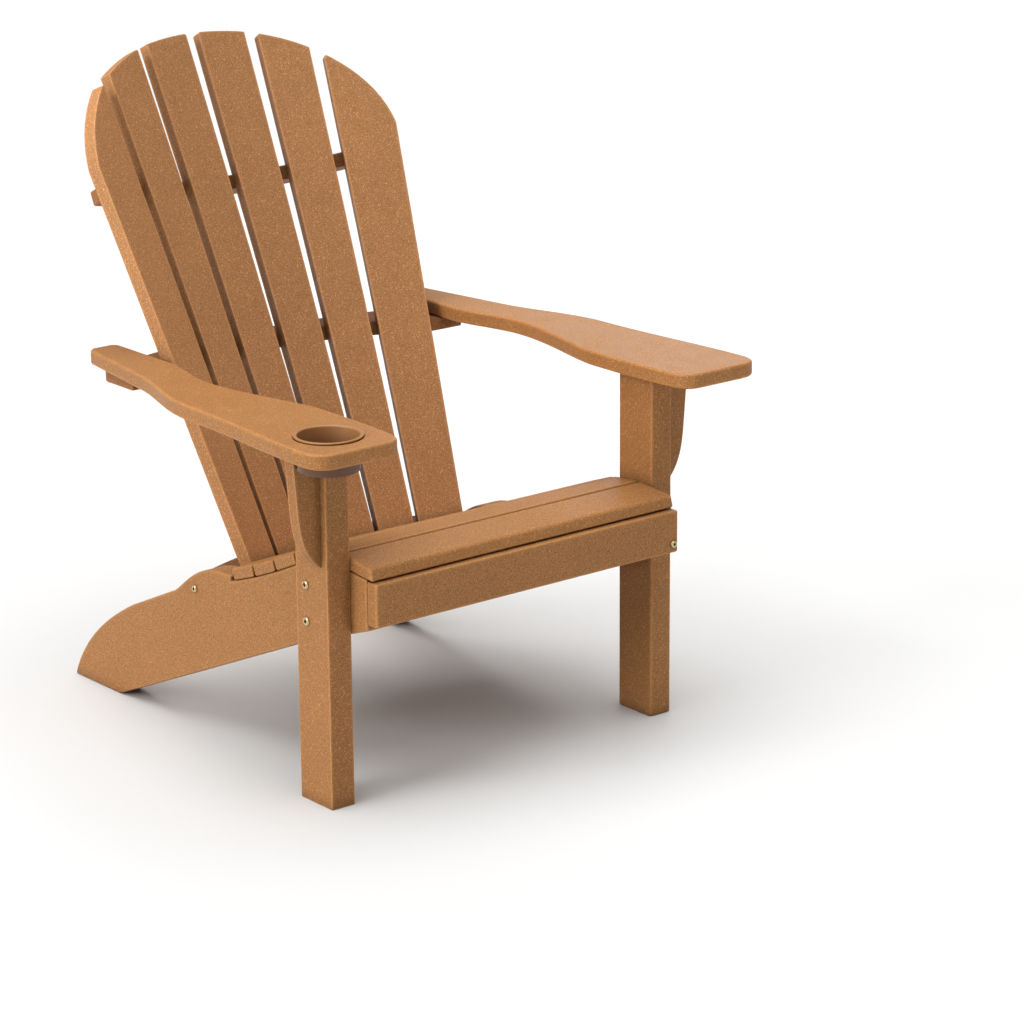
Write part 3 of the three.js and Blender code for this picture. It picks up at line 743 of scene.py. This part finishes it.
def armOutline(sign):
    rear, front = armRear, armSet["front"]
    outer, waist = armSet["outer"], armSet["outerWaist"]
    inFront, inWaist = armSet["innerFront"], armSet["innerWaist"]
    inRear, outRear = armSet["innerRear"], armSet["outerRear"]
    points = [(inRear, rear - 15)]
    points += quadratic(points[-1], (inRear, rear), (inRear + 14, rear), 6)
    points.append((outRear - 16, rear))
    points += quadratic(points[-1], (outRear - 1, rear), (outRear, rear - 15), 6)
    points.append((22.5, rear - 178))
    points += bezier(points[-1], (31, 349), (waist, 290), (waist, 225))
    points += bezier(points[-1], (waist, 130), (outer, 20), (outer, front + 36))
    points += quadratic(points[-1], (outer, front), (outer - 35, front), 10)
    points.append((inFront + 34, front))
    points += quadratic(points[-1], (inFront + 7, front + 1), (inFront + 5, front + 34), 10)
    points += bezier(points[-1], (inFront, -20), (inFront - 1, 60), (inFront + 1, 105))
    points += bezier(points[-1], (inFront + 4, 150), (inWaist, 240), (inWaist, 310))
    points += bezier(points[-1], (inWaist, 360), (inRear + 2, 395), (inRear + 1, 440))
    return [(sign * (frameSet["legOuter"] + a), y) for a, y in points]


def makeArms():
    for side, sign in sideNames.items():
        low = armSet["top"] - armSet["thickness"]
        arm = makeBoard(side + "Arm", armOutline(sign), flat, (0, 0, low), armSet["thickness"])
        if sign < 0:
            cutAway(arm, cupCutter(cupSet["clearance"], low - 20, armSet["top"] + 20))
        easeEdges(arm, armSet["edge"], 4)
        fitPiece(arm, lumber["armLumber"], "arm_lumber", side + "_arm", tone=0.005 * sign)


makeArms()
print("arms made")


def turnProfile(name, profile, centre, sides):
    shell = bmesh.new()
    rings = []
    for i in range(sides):
        angle = 2 * math.pi * i / sides
        rings.append([
            shell.verts.new(toRow((
                centre[0] + r * math.cos(angle),
                centre[1] + r * math.sin(angle),
                centre[2] + z,
            )))
            for r, z in profile
        ])
    for i in range(sides):
        bridgeRings(shell, rings[i], rings[(i + 1) % sides])
    return closeShell(name, shell)


def makeCup():
    top = cupSet["armTop"] + frameSet["gap"]
    bottom, rim = cupSet["bottom"], cupSet["radius"] + cupSet["rimReach"]
    wall, rimTop = cupSet["wall"], top + cupSet["rimHeight"]
    profile = softenCorners([
        (cupSet["drain"], bottom),
        (cupSet["baseRadius"], bottom),
        (cupSet["radius"] - 0.4, top),
        (rim, top),
        (rim, rimTop),
        (cupSet["radius"] - wall, rimTop),
        (cupSet["baseRadius"] - wall, bottom + wall),
        (cupSet["drain"], bottom + wall),
    ], 2.2, 5)
    cup = turnProfile("cupHolder", profile, (cupSet["x"], cupSet["y"], 0), 96)
    lip = cup.data.attributes.new("lip", "FLOAT", "POINT")
    lip.data.foreach_set("value", [float(v.co.z > (top - 1) * mm) for v in cup.data.vertices])
    weighted = cup.modifiers.new("evenShading", "WEIGHTED_NORMAL")
    weighted.weight = 60
    fitPiece(cup, cupPlastic, "cup_plastic", "cup_holder")


makeCup()
print("cup holder made")

backSet = {
    "recline": 25.9,
    "centreY": 467.0,
    "centreZ": 390.0,
    "top": 945.0,
    "shoulder": 780.0,
    "archPower": 2.22,
    "archReach": 4.5,
    "thickness": 20.0,
    "bottom": 198.0,
    "edgeAngle": 33.0,
    "middle": 8.6,
    "outer": 10.5,
    "gapAngle": 2.1,
    "footGain": 2.8,
    "toArm": 24.5,
    "toRail": 45.0,
    "edge": 2.4,
    "corner": 3.6,
}
braceSet = {
    "thickness": 20.0,
    "armDepth": 52.0,
    "armEndInset": -8.0,
    "armEndDepth": 76.0,
    "upperHeight": 731.0,
    "upperThickness": 22.0,
    "upperDepth": 44.0,
    "upperOverhang": 2.0,
    "lowerTop": 231.0,
    "lowerThickness": 26.0,
    "lowerDepth": 44.0,
    "railScrewY": 376.0,
    "clearance": 2.0,
    "edge": 3.0,
}
lowHalf = railInner - backSet["toRail"]
lowWidthZ = braceSet["lowerTop"] - braceSet["lowerThickness"] / 2
armHalf = frameSet["legOuter"] + armSet["innerRear"] - backSet["toArm"]
backSpread = (armHalf - lowHalf) / (armSet["top"] - lowWidthZ)
tilt = math.radians(backSet["recline"])
edgeAngle = math.radians(backSet["edgeAngle"])


def backHalf(z):
    return lowHalf + backSpread * (z - lowWidthZ)


def backRadius(z):
    return backHalf(z) / math.sin(edgeAngle)


def backY(z):
    return backSet["centreY"] + (z - backSet["centreZ"]) * math.tan(tilt)


def backPoint(z, angle):
    radius = backRadius(z)
    return Vector((radius * math.sin(angle), backY(z) - radius * (1 - math.cos(angle)), z))


def slatLayout():
    edge, outer = backSet["edgeAngle"], backSet["outer"]
    middle, space = backSet["middle"], backSet["gapAngle"]
    second = edge - outer - space - middle / 2
    half = [(second - middle - space, middle), (second, middle), (edge - outer / 2, outer)]
    layout = [(-centre, width) for centre, width in reversed(half)] + half
    return [(math.radians(centre), math.radians(width)) for centre, width in layout]


def slatFrame(centre):
    origin = backPoint(backSet["bottom"], centre)
    along = (backPoint(backSet["bottom"] + 100, centre) - origin).normalized()
    across = Vector((math.cos(centre), -math.sin(centre), 0))
    across = (across - along * across.dot(along)).normalized()
    return origin, across, along, across.cross(along)


def archHeight(x):
    shoulder, power = backSet["shoulder"], backSet["archPower"]
    half = backHalf(shoulder) + backSet["archReach"]
    share = min(1.0, abs(x) / half)
    return shoulder + (backSet["top"] - shoulder) * (1 - share ** power) ** (1 / power)


def slatOutline(slat, width):
    origin, across, along, outwards = slat
    shoulder = backSet["shoulder"]

    def halfAt(v):
        z = origin.z + v * along.z
        below = (shoulder - z) / (shoulder - backSet["bottom"])
        return backRadius(z) * width / 2 + backSet["footGain"] * below

    def topAt(share):
        low, high = 0.0, 2 * (backSet["top"] - backSet["bottom"])
        for _ in range(40):
            v = (low + high) / 2
            point = origin + across * (share * halfAt(v)) + along * v
            low, high = (v, high) if point.z < archHeight(point.x) else (low, v)
        return share * halfAt(low), low

    outward = 1 if origin.x > 0 else -1
    steps = 11
    tops = []
    for k in range(steps + 1):      # closer together towards the outer edge
        share = 2 * math.sin(k / steps * math.pi / 2) ** 1.15 - 1
        tops.append(topAt(outward * share))
    if outward > 0:
        tops.reverse()
    points = [(-halfAt(0), 0), (halfAt(0), 0)] + tops
    return softenCorners(points, backSet["corner"], 5)


slats = []
# Painted light: back slat tones step from lighter at slat 1 on the sitter's right to darker at slat
# 6, standing in for how the light falls across the back.
slatLightTones = [0.17, 0.07, 0.03, -0.01, -0.01, -0.04]
for number, (centre, width) in enumerate(slatLayout(), start=1):
    slat = slatFrame(centre)
    origin, across, along, outwards = slat
    slats.append((slat, centre))
    board = makeBoard(
        f"backSlat{number}",
        slatOutline(slat, width),
        (across, along, outwards),
        origin - outwards * backSet["thickness"],
        backSet["thickness"],
    )
    easeEdges(board, backSet["edge"])
    tone = slatLightTones[number - 1]
    fitPiece(board, lumber["backLumber"], "back_lumber", f"back_slat_{number}", tone=tone)
print("back slats made:", len(slats))

slatRun = backSet["thickness"] / math.cos(tilt)    # through a slat, measured level


def braceFront(z, halfLength, endY):
    radius = backRadius(z) + slatRun + braceSet["clearance"]
    centreY = backY(z) - backRadius(z)
    reach = min(halfLength, radius * math.sin(edgeAngle + 0.05))
    points = []
    steps = 24
    for k in range(steps + 1):
        x = -reach + 2 * reach * k / steps
        y = centreY + math.sqrt(radius * radius - x * x)
        points.append((x, max(y, endY)))
    if halfLength > reach + 4:
        points = [(-halfLength, endY)] + points + [(halfLength, endY)]
    return points


def braceRear(halfLength, endRear, middleRear, corner):
    bow = (0, 2 * middleRear - endRear)
    turned = endRear + 2
    points = [(halfLength, endRear - corner)]
    points += quadratic(points[-1], (halfLength, endRear), (halfLength - corner, turned), 6)
    points += quadratic(points[-1], bow, (corner - halfLength, turned), 26)
    points += quadratic(points[-1], (-halfLength, endRear), (-halfLength, endRear - corner), 6)
    return points


def levelBrace(name, node, top, thickness, halfLength, endFront, endRear, depth, corner, tone):
    low = top - thickness
    middle = (top + low) / 2
    rear = braceRear(halfLength, endRear, backY(middle) + slatRun + depth, corner)
    lowOutline = braceFront(low, halfLength, endFront) + rear
    highOutline = braceFront(top, halfLength, endFront) + rear
    board = makeBoard(name, lowOutline, flat, (0, 0, low), thickness, highOutline)
    easeEdges(board, braceSet["edge"])
    fitPiece(board, lumber["braceLumber"], "brace_lumber", node, tone=tone)


armBraceTop = armSet["top"] - armSet["thickness"] - frameSet["gap"]
armBraceMiddle = armBraceTop - braceSet["thickness"] / 2
armBraceFront = backPoint(armBraceMiddle, edgeAngle).y + slatRun * 0.8
levelBrace(
    "armBrace",
    "arm_brace",
    armBraceTop,
    braceSet["thickness"],
    frameSet["legOuter"] + braceSet["armEndInset"],
    armBraceFront,
    armBraceFront + braceSet["armEndDepth"],
    braceSet["armDepth"],
    12.0,
    -0.02,
)
levelBrace(
    "lowerBackBrace",
    "lower_back_brace",
    braceSet["lowerTop"],
    braceSet["lowerThickness"],
    railInner - frameSet["gap"],
    braceSet["railScrewY"] - 22,
    braceSet["railScrewY"] + 26,
    braceSet["lowerDepth"],
    4.0,
    0.0,
)


def makeUpperBrace():
    height = braceSet["upperHeight"]
    half = backHalf(height) + braceSet["upperOverhang"]
    centreZ = height + backSet["thickness"] * math.sin(tilt)
    radius = backRadius(height)

    def sag(x):
        return radius - math.sqrt(radius ** 2 - x * x)

    points = []
    steps = 26
    for k in range(steps + 1):
        x = -half + 2 * half * k / steps
        level = backSet["thickness"] + braceSet["clearance"]
        points.append((x, -sag(x) * math.cos(tilt) + level))
    endFront = -sag(half) * math.cos(tilt) + backSet["thickness"] * 0.4
    endRear = endFront + backSet["thickness"] + braceSet["upperDepth"] * 0.75
    points += braceRear(half, endRear, backSet["thickness"] + braceSet["upperDepth"], 8.0)
    across = Vector((1, 0, 0))
    rearwards = Vector((0, math.cos(tilt), -math.sin(tilt)))
    upwards = Vector((0, math.sin(tilt), math.cos(tilt)))
    start = Vector((0, backY(centreZ), centreZ)) - upwards * (braceSet["upperThickness"] / 2)
    board = makeBoard(
        "upperBackBrace",
        points,
        (across, rearwards, upwards),
        start,
        braceSet["upperThickness"],
    )
    easeEdges(board, braceSet["edge"])
    fitPiece(board, lumber["braceLumber"], "brace_lumber", "upper_back_brace", tone=0.01)


makeUpperBrace()
print("braces made")


def makeFrontOfSeat():
    first = facets[0]
    nose = [
        underFacet(first, -seatSet["noseReach"], seatSet["thickness"]),
        underFacet(first, first["width"], seatSet["thickness"]),
        (first["endY"], first["endZ"]),
        (first["y"], first["z"]),
    ]
    lip = makeBoard("frontSeatSlat", nose, onEdge, (-railOuter, 0, 0), 2 * railOuter)
    easeEdges(lip, seatSet["edge"] + 0.6, 4)
    fitPiece(lip, lumber["seatLumber"], "seat_lumber", "front_seat_slat", tone=0.012)

    apronBox = [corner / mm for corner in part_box("front_apron")]
    low, high = apronBox[0].z, apronBox[1].z
    front = apronBox[0].y - originY
    sheet = [(-railOuter, low), (railOuter, low), (railOuter, high), (-railOuter, high)]
    thickness = apronBox[1].y - apronBox[0].y
    apron = makeBoard("frontApron", sheet, facing, (0, front, 0), thickness)
    easeEdges(apron, frameSet["edge"])
    fitPiece(apron, lumber["seatLumber"], "seat_lumber", "front_apron", tone=-0.005)


# One slat blank repeated along the seat's line.
def makeSlatTree():
    tree, given, result = nodeGroup(
        "seatSlatRun",
        "GeometryNodeTree",
        [
            ("Geometry", "NodeSocketGeometry", None),
            ("Blank", "NodeSocketObject", None),
            ("Tone Spread", "NodeSocketFloat", 0.02),
            ("Seed", "NodeSocketInt", 4),
            ("Finish", "NodeSocketMaterial", None),
        ],
        [("Geometry", "NodeSocketGeometry")],
    )
    lean = addNode(tree, "GeometryNodeInputNamedAttribute", data_type="FLOAT")
    lean.inputs["Name"].default_value = "lean"
    turn = addNode(tree, "ShaderNodeCombineXYZ")
    rotation = addNode(tree, "FunctionNodeEulerToRotation")
    blank = addNode(tree, "GeometryNodeObjectInfo", transform_space="ORIGINAL")
    place = addNode(tree, "GeometryNodeInstanceOnPoints")
    tones = addNode(tree, "FunctionNodeRandomValue", data_type="FLOAT")
    lowest = addNode(tree, "ShaderNodeMath", operation="MULTIPLY")
    lowest.inputs[1].default_value = -1.0
    store = addNode(tree, "GeometryNodeStoreNamedAttribute", data_type="FLOAT")
    store.domain = "INSTANCE"
    store.inputs["Name"].default_value = "boardTone"
    wire(tree, [
        (lean, "Attribute", turn, "X"),
        (turn, "Vector", rotation, "Euler"),
        (given, "Blank", blank, "Object"),
        (given, "Geometry", place, "Points"),
        (blank, "Geometry", place, "Instance"),
        (rotation, "Rotation", place, "Rotation"),
        (given, "Tone Spread", lowest, 0),
        (lowest, 0, tones, 2),
        (given, "Tone Spread", tones, 3),
        (given, "Seed", tones, "Seed"),
        (place, "Instances", store, "Geometry"),
        (tones, 1, store, "Value"),
    ])
    closeRun(tree, store.outputs["Geometry"], given, result)
    return tree


def makeSlatBlank():
    half, thick, wide = railOuter, seatSet["thickness"], seatSet["width"]
    ends = [(0, -thick), (wide, -thick), (wide, 0), (0, 0)]
    blank = makeBoard("slatBlank", ends, onEdge, (-half, -originY, 0), 2 * half)
    easeEdges(blank, seatSet["edge"])
    return blank


def makeMiddleSlats():
    points = bpy.data.meshes.new("slatPlaces")
    middle = facets[1:5]
    points.from_pydata([toRow((0, f["y"], f["z"])) for f in middle], [], [])
    lean = points.attributes.new("lean", "FLOAT", "POINT")
    lean.data.foreach_set("value", [f["angle"] for f in middle])
    host = linkPiece("slatRunHost", points)
    blank = makeSlatBlank()
    values = {"Blank": blank, "Tone Spread": 0.02, "Seed": 4, "Finish": lumber["seatLumber"]}
    runTree(host, makeSlatTree(), values)
    seat = takeResult("seatSlats", host)
    bpy.data.objects.remove(blank)
    nodes = [f"seat_slat_{number}" for number in range(2, 6)]
    fitPiece(seat, None, "seat_lumber", *nodes)


# The rear slat runs on between the rails, cut to the curve of the back.
def makeRearSlat():
    last = facets[-1]
    thick = seatSet["thickness"]
    inner = railInner - 1

    def reachAt(x):
        v = last["width"]
        for _ in range(400):
            y, z = underFacet(last, v, thick)
            radius = backRadius(z)
            front = backY(z) - radius + math.sqrt(max(radius * radius - x * x, 0))
            if y > front - seatSet["toBack"] - 3:
                break
            v += 0.5
        return v

    steps = 22
    places = [inner - 2 * inner * k / steps for k in range(steps + 1)]
    rear = [(x, reachAt(x)) for x in places]
    wide = last["width"]
    outline = [(-railOuter, 0), (railOuter, 0), (railOuter, wide), (inner, wide)] + rear
    outline += [(-inner, wide), (-railOuter, wide)]
    along = Vector((0, math.cos(last["angle"]), math.sin(last["angle"])))
    upwards = Vector((0, -math.sin(last["angle"]), math.cos(last["angle"])))
    start = Vector((0, last["y"], last["z"])) - upwards * thick
    slat = makeBoard("rearSeatSlat", outline, ((1, 0, 0), along, upwards), start, thick)
    easeEdges(slat, seatSet["edge"])
    fitPiece(slat, lumber["seatLumber"], "seat_lumber", "rear_seat_slat", tone=-0.01)


makeFrontOfSeat()
makeMiddleSlats()
makeRearSlat()
print("seat made")

screwSets = {
    "legBolt": {"head": 6.5, "height": 3.0, "shank": 3.0, "length": 82.0, "socket": 3.0},
    "panScrew": {"head": 5.5, "height": 3.0, "shank": 2.2, "length": 36.0, "socket": 2.4},
}
nutSet = {"across": 7.0, "bore": 3.3, "height": 5.0}


# A round ring of the shell, or a six-sided one of the same radius at its corners.
def addRing(shell, radius, z, hexed, sides=24):
    ring = []
    for i in range(sides):
        angle = 2 * math.pi * i / sides
        r = radius
        if hexed:
            r = radius * math.cos(math.pi / 6) / math.cos(angle % (math.pi / 3) - math.pi / 6)
        place = Vector((r * math.cos(angle), r * math.sin(angle), z)) * mm
        ring.append(shell.verts.new(place))
    return ring


# Head up, seat at the origin, shank down, with a six-sided socket in the head. The last
# number of a ring is how much painted shade it takes, darkest deep in the socket.
def fastenerBlank(name, sizes):
    head, height, shank = sizes["head"], sizes["height"], sizes["shank"]
    socket, length = sizes["socket"], sizes["length"]
    rings = [
        (shank * 0.55, -length, 0, 0),
        (shank, -length + 3, 0, 0),
        (shank, 0, 0, 0),
        (head, 0, 0, 0),
        (head, height * 0.35, 0, 0),
        (head * 0.93, height * 0.72, 0, 0),
        (head * 0.78, height * 0.95, 0, 0),
        (head * 0.66, height, 0, 0),
        (socket + 0.35, height, 1, 0),
        (socket, height * 0.9, 1, 0.5),
        (socket, height * 0.25, 1, 1),
    ]
    shell = bmesh.new()
    recess = shell.verts.layers.float.new("recess")
    made = []
    for radius, z, hexed, paintedShade in rings:
        ring = addRing(shell, radius, z, hexed)
        for vert in ring:
            vert[recess] = paintedShade
        made.append(ring)
    for near, far in zip(made, made[1:]):
        bridgeRings(shell, near, far)
    shell.faces.new(list(reversed(made[0])))
    shell.faces.new(made[-1])
    return closeShell(name, shell, 35)


def nutBlank():
    across, bore, height = nutSet["across"], nutSet["bore"], nutSet["height"]
    profile = [
        (bore, 0, 0),
        (across * 0.96, 0, 1),
        (across, 0.5, 1),
        (across, height - 0.6, 1),
        (across * 0.93, height, 1),
        (bore, height, 0),
    ]
    shell = bmesh.new()
    rings = [addRing(shell, radius, z, hexed) for radius, z, hexed in profile]
    for k in range(len(rings)):
        bridgeRings(shell, rings[k], rings[(k + 1) % len(rings)])
    return closeShell("nutBlank", shell, 28)


# Sets a copy of one fastener at each point, its head turned to face along the point's
# own "facing" direction.
def makeFastenerTree():
    tree, given, result = nodeGroup(
        "fastenerSet",
        "GeometryNodeTree",
        [
            ("Geometry", "NodeSocketGeometry", None),
            ("Fastener", "NodeSocketObject", None),
            ("Size", "NodeSocketFloat", 1.0),
            ("Seed", "NodeSocketInt", 7),
            ("Finish", "NodeSocketMaterial", None),
        ],
        [("Geometry", "NodeSocketGeometry")],
    )
    facingWay = addNode(tree, "GeometryNodeInputNamedAttribute", data_type="FLOAT_VECTOR")
    facingWay.inputs["Name"].default_value = "facing"
    align = addNode(tree, "FunctionNodeAlignRotationToVector", axis="Z")
    twist = addNode(tree, "FunctionNodeRandomValue", data_type="FLOAT")
    twist.inputs[3].default_value = 2 * math.pi
    spin = addNode(tree, "ShaderNodeCombineXYZ")
    spinTurn = addNode(tree, "FunctionNodeEulerToRotation")
    turned = addNode(tree, "FunctionNodeRotateRotation", rotation_space="LOCAL")
    blank = addNode(tree, "GeometryNodeObjectInfo", transform_space="ORIGINAL")
    place = addNode(tree, "GeometryNodeInstanceOnPoints")
    wire(tree, [
        (facingWay, "Attribute", align, "Vector"),
        (given, "Seed", twist, "Seed"),
        (twist, 1, spin, "Z"),
        (spin, "Vector", spinTurn, "Euler"),
        (align, "Rotation", turned, "Rotation"),
        (spinTurn, "Rotation", turned, "Rotate By"),
        (given, "Fastener", blank, "Object"),
        (given, "Geometry", place, "Points"),
        (blank, "Geometry", place, "Instance"),
        (turned, "Rotation", place, "Rotation"),
        (given, "Size", place, "Scale"),
    ])
    closeRun(tree, place.outputs["Instances"], given, result)
    return tree


fastenerTree = makeFastenerTree()


def setFasteners(name, blank, places, nodes, seed):
    points = bpy.data.meshes.new(name + "Places")
    points.from_pydata([toRow(seat) for seat, _ in places], [], [])
    ways = points.attributes.new("facing", "FLOAT_VECTOR", "POINT")
    ways.data.foreach_set("vector", [axis for _, way in places for axis in way])
    host = linkPiece(name + "Host", points)
    values = {"Fastener": blank, "Size": 1.0, "Seed": seed, "Finish": paleBrass}
    runTree(host, fastenerTree, values)
    fitPiece(takeResult(name, host), None, "brass_fasteners", *nodes)


# Each fastener's place is read from its own node.
def nodeCentre(node):
    low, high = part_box(node)
    return (low + high) / 2 / mm - Vector((0, originY, 0)), (high - low) / mm


# The upper brace's screws stand square to the slats, the other two braces' stay level.
# All of them have their heads to the rear.
def backScrewPlaces(brace):
    screw = screwSets["panScrew"]
    toSeat = (screw["length"] - screw["height"]) / 2
    places = []
    for number, (slat, centre) in enumerate(slats, start=1):
        middle, _ = nodeCentre(f"{brace}_brace_screw_{number}")
        if brace == "upper":
            way = -slat[3]
        else:
            way = Vector((math.sin(centre), math.cos(centre), 0))
        places.append((middle + way * toSeat, tuple(way)))
    return places


# Round holes that let the brace screws' heads in, below the brace's rear face.
holeSet = {"radius": 5.8, "reach": 80.0, "sides": 24, "keepSmooth": 35.0}


def sinkHoles(piece, places):
    ring = circle(holeSet["radius"], holeSet["sides"])
    for seat, way in places:
        out = Vector(way).normalized()
        up = Vector((0, 0, 1)) - out * out.z
        up.normalize()
        rod = makeBoard("holeCutter", ring, (up, out.cross(up), out), seat, holeSet["reach"])
        cutAway(piece, rod)
    piece.data.set_sharp_from_angle(angle=math.radians(holeSet["keepSmooth"]))
    evenOut = piece.modifiers.new("evenNormals", "WEIGHTED_NORMAL")
    evenOut.keep_sharp = True


def makeFasteners():
    bolt = fastenerBlank("boltBlank", screwSets["legBolt"])
    screw = fastenerBlank("screwBlank", screwSets["panScrew"])
    nut = nutBlank()
    out, inside = frameSet["legOuter"] + frameSet["gap"], railInner - frameSet["gap"]
    bolts, boltNodes, nuts, nutNodes = [], [], [], []
    for side, sign in sideNames.items():
        for level in ("lower", "upper"):
            node = f"{side}_leg_bolt_{level}"
            middle, _ = nodeCentre(node)
            bolts.append(((sign * out, middle.y, middle.z), (sign, 0, 0)))
            boltNodes.append(node)
            nuts.append(((sign * inside, middle.y, middle.z), (-sign, 0, 0)))
            nutNodes.append(f"{side}_leg_nut_{level}")
    setFasteners("legBolts", bolt, bolts, boltNodes, 3)
    setFasteners("legNuts", nut, nuts, nutNodes, 5)
    head = screwSets["panScrew"]["height"]
    singles, singleNodes = [], []
    for side, sign in sideNames.items():
        middle, _ = nodeCentre(side + "_rail_screw")
        railFace = railOuter + frameSet["gap"]
        singles.append(((sign * railFace, middle.y, middle.z), (sign, 0, 0)))
        singleNodes.append(side + "_rail_screw")
        middle, size = nodeCentre(side + "_arm_screw")
        singles.append(((middle.x, middle.y, middle.z - size.z / 2 + head), (0, 0, -1)))
        singleNodes.append(side + "_arm_screw")
    middle, size = nodeCentre("left_apron_screw")
    singles.append(((middle.x, middle.y - size.y / 2 + head, middle.z), (0, -1, 0)))
    singleNodes.append("left_apron_screw")
    setFasteners("frameScrews", screw, singles, singleNodes, 9)
    boards = {"lower": "lowerBackBrace", "arm": "armBrace", "upper": "upperBackBrace"}
    for brace, board in boards.items():
        nodes = [f"{brace}_brace_screw_{n}" for n in range(1, 7)]
        places = backScrewPlaces(brace)
        sinkHoles(bpy.data.objects[board], places)
        setFasteners(brace + "BraceScrews", screw, places, nodes, 11)
    for blank in (bolt, screw, nut):
        bpy.data.objects.remove(blank)


makeFasteners()
print("fasteners set")

studioSet = {
    "floorSize": 80.0,
    "floor": (0.63, 0.63, 0.625, 1.0),
    "world": (1.0, 1.0, 1.0, 1.0),
    "worldStrength": 0.25,
    "overhead": {"way": (-0.1, 0.0, 0.99), "strength": 3.75, "angle": 80.0},
    "side": {"way": (-0.92, 0.08, 0.36), "strength": 1.9, "angle": 34.0},
    "rearPanel": {
        "place": (2.55, 1.95, 1.5),
        "aim": (0.36, -0.05, 0.54),
        "size": 1.2,
        "power": 10.0,
    },
}


def addSun(name, light):
    data = bpy.data.lights.new(name, "SUN")
    data.energy = light["strength"]
    data.angle = math.radians(light["angle"])
    lamp = bpy.data.objects.new(name, data)
    lamp.rotation_euler = Vector(light["way"]).to_track_quat("Z", "Y").to_euler()
    scene.collection.objects.link(lamp)


def addPanel(name, panel):
    data = bpy.data.lights.new(name, "AREA")
    data.size = panel["size"]
    data.energy = panel["power"]
    lamp = bpy.data.objects.new(name, data)
    place = Vector(panel["place"])
    lamp.location = place
    lamp.rotation_euler = (place - Vector(panel["aim"])).to_track_quat("Z", "Y").to_euler()
    lamp.visible_camera = False
    scene.collection.objects.link(lamp)


def makeStudio():
    half = studioSet["floorSize"] / 2
    mesh = bpy.data.meshes.new("studioFloor")
    corners = [(-half, -half, 0), (half, -half, 0), (half, half, 0), (-half, half, 0)]
    mesh.from_pydata(corners, [], [(0, 1, 2, 3)])
    floor = linkPiece("studioFloor", mesh)
    material, tree, shader = newMaterial("floorPaper")
    paper = {"Base Color": studioSet["floor"], "Roughness": 0.9, "Specular IOR Level": 0.1}
    setInputs(shader, paper)
    mesh.materials.append(material)
    world = bpy.data.worlds.new("studioLight")
    world.use_nodes = True
    background = world.node_tree.nodes["Background"]
    setInputs(background, {"Color": studioSet["world"], "Strength": studioSet["worldStrength"]})
    scene.world = world
    addSun("overheadLight", studioSet["overhead"])
    addSun("sideLight", studioSet["side"])
    addPanel("rearPanel", studioSet["rearPanel"])
    scene.view_settings.view_transform = "Standard"
    scene.view_settings.look = "None"


makeStudio()
print("studio lit")
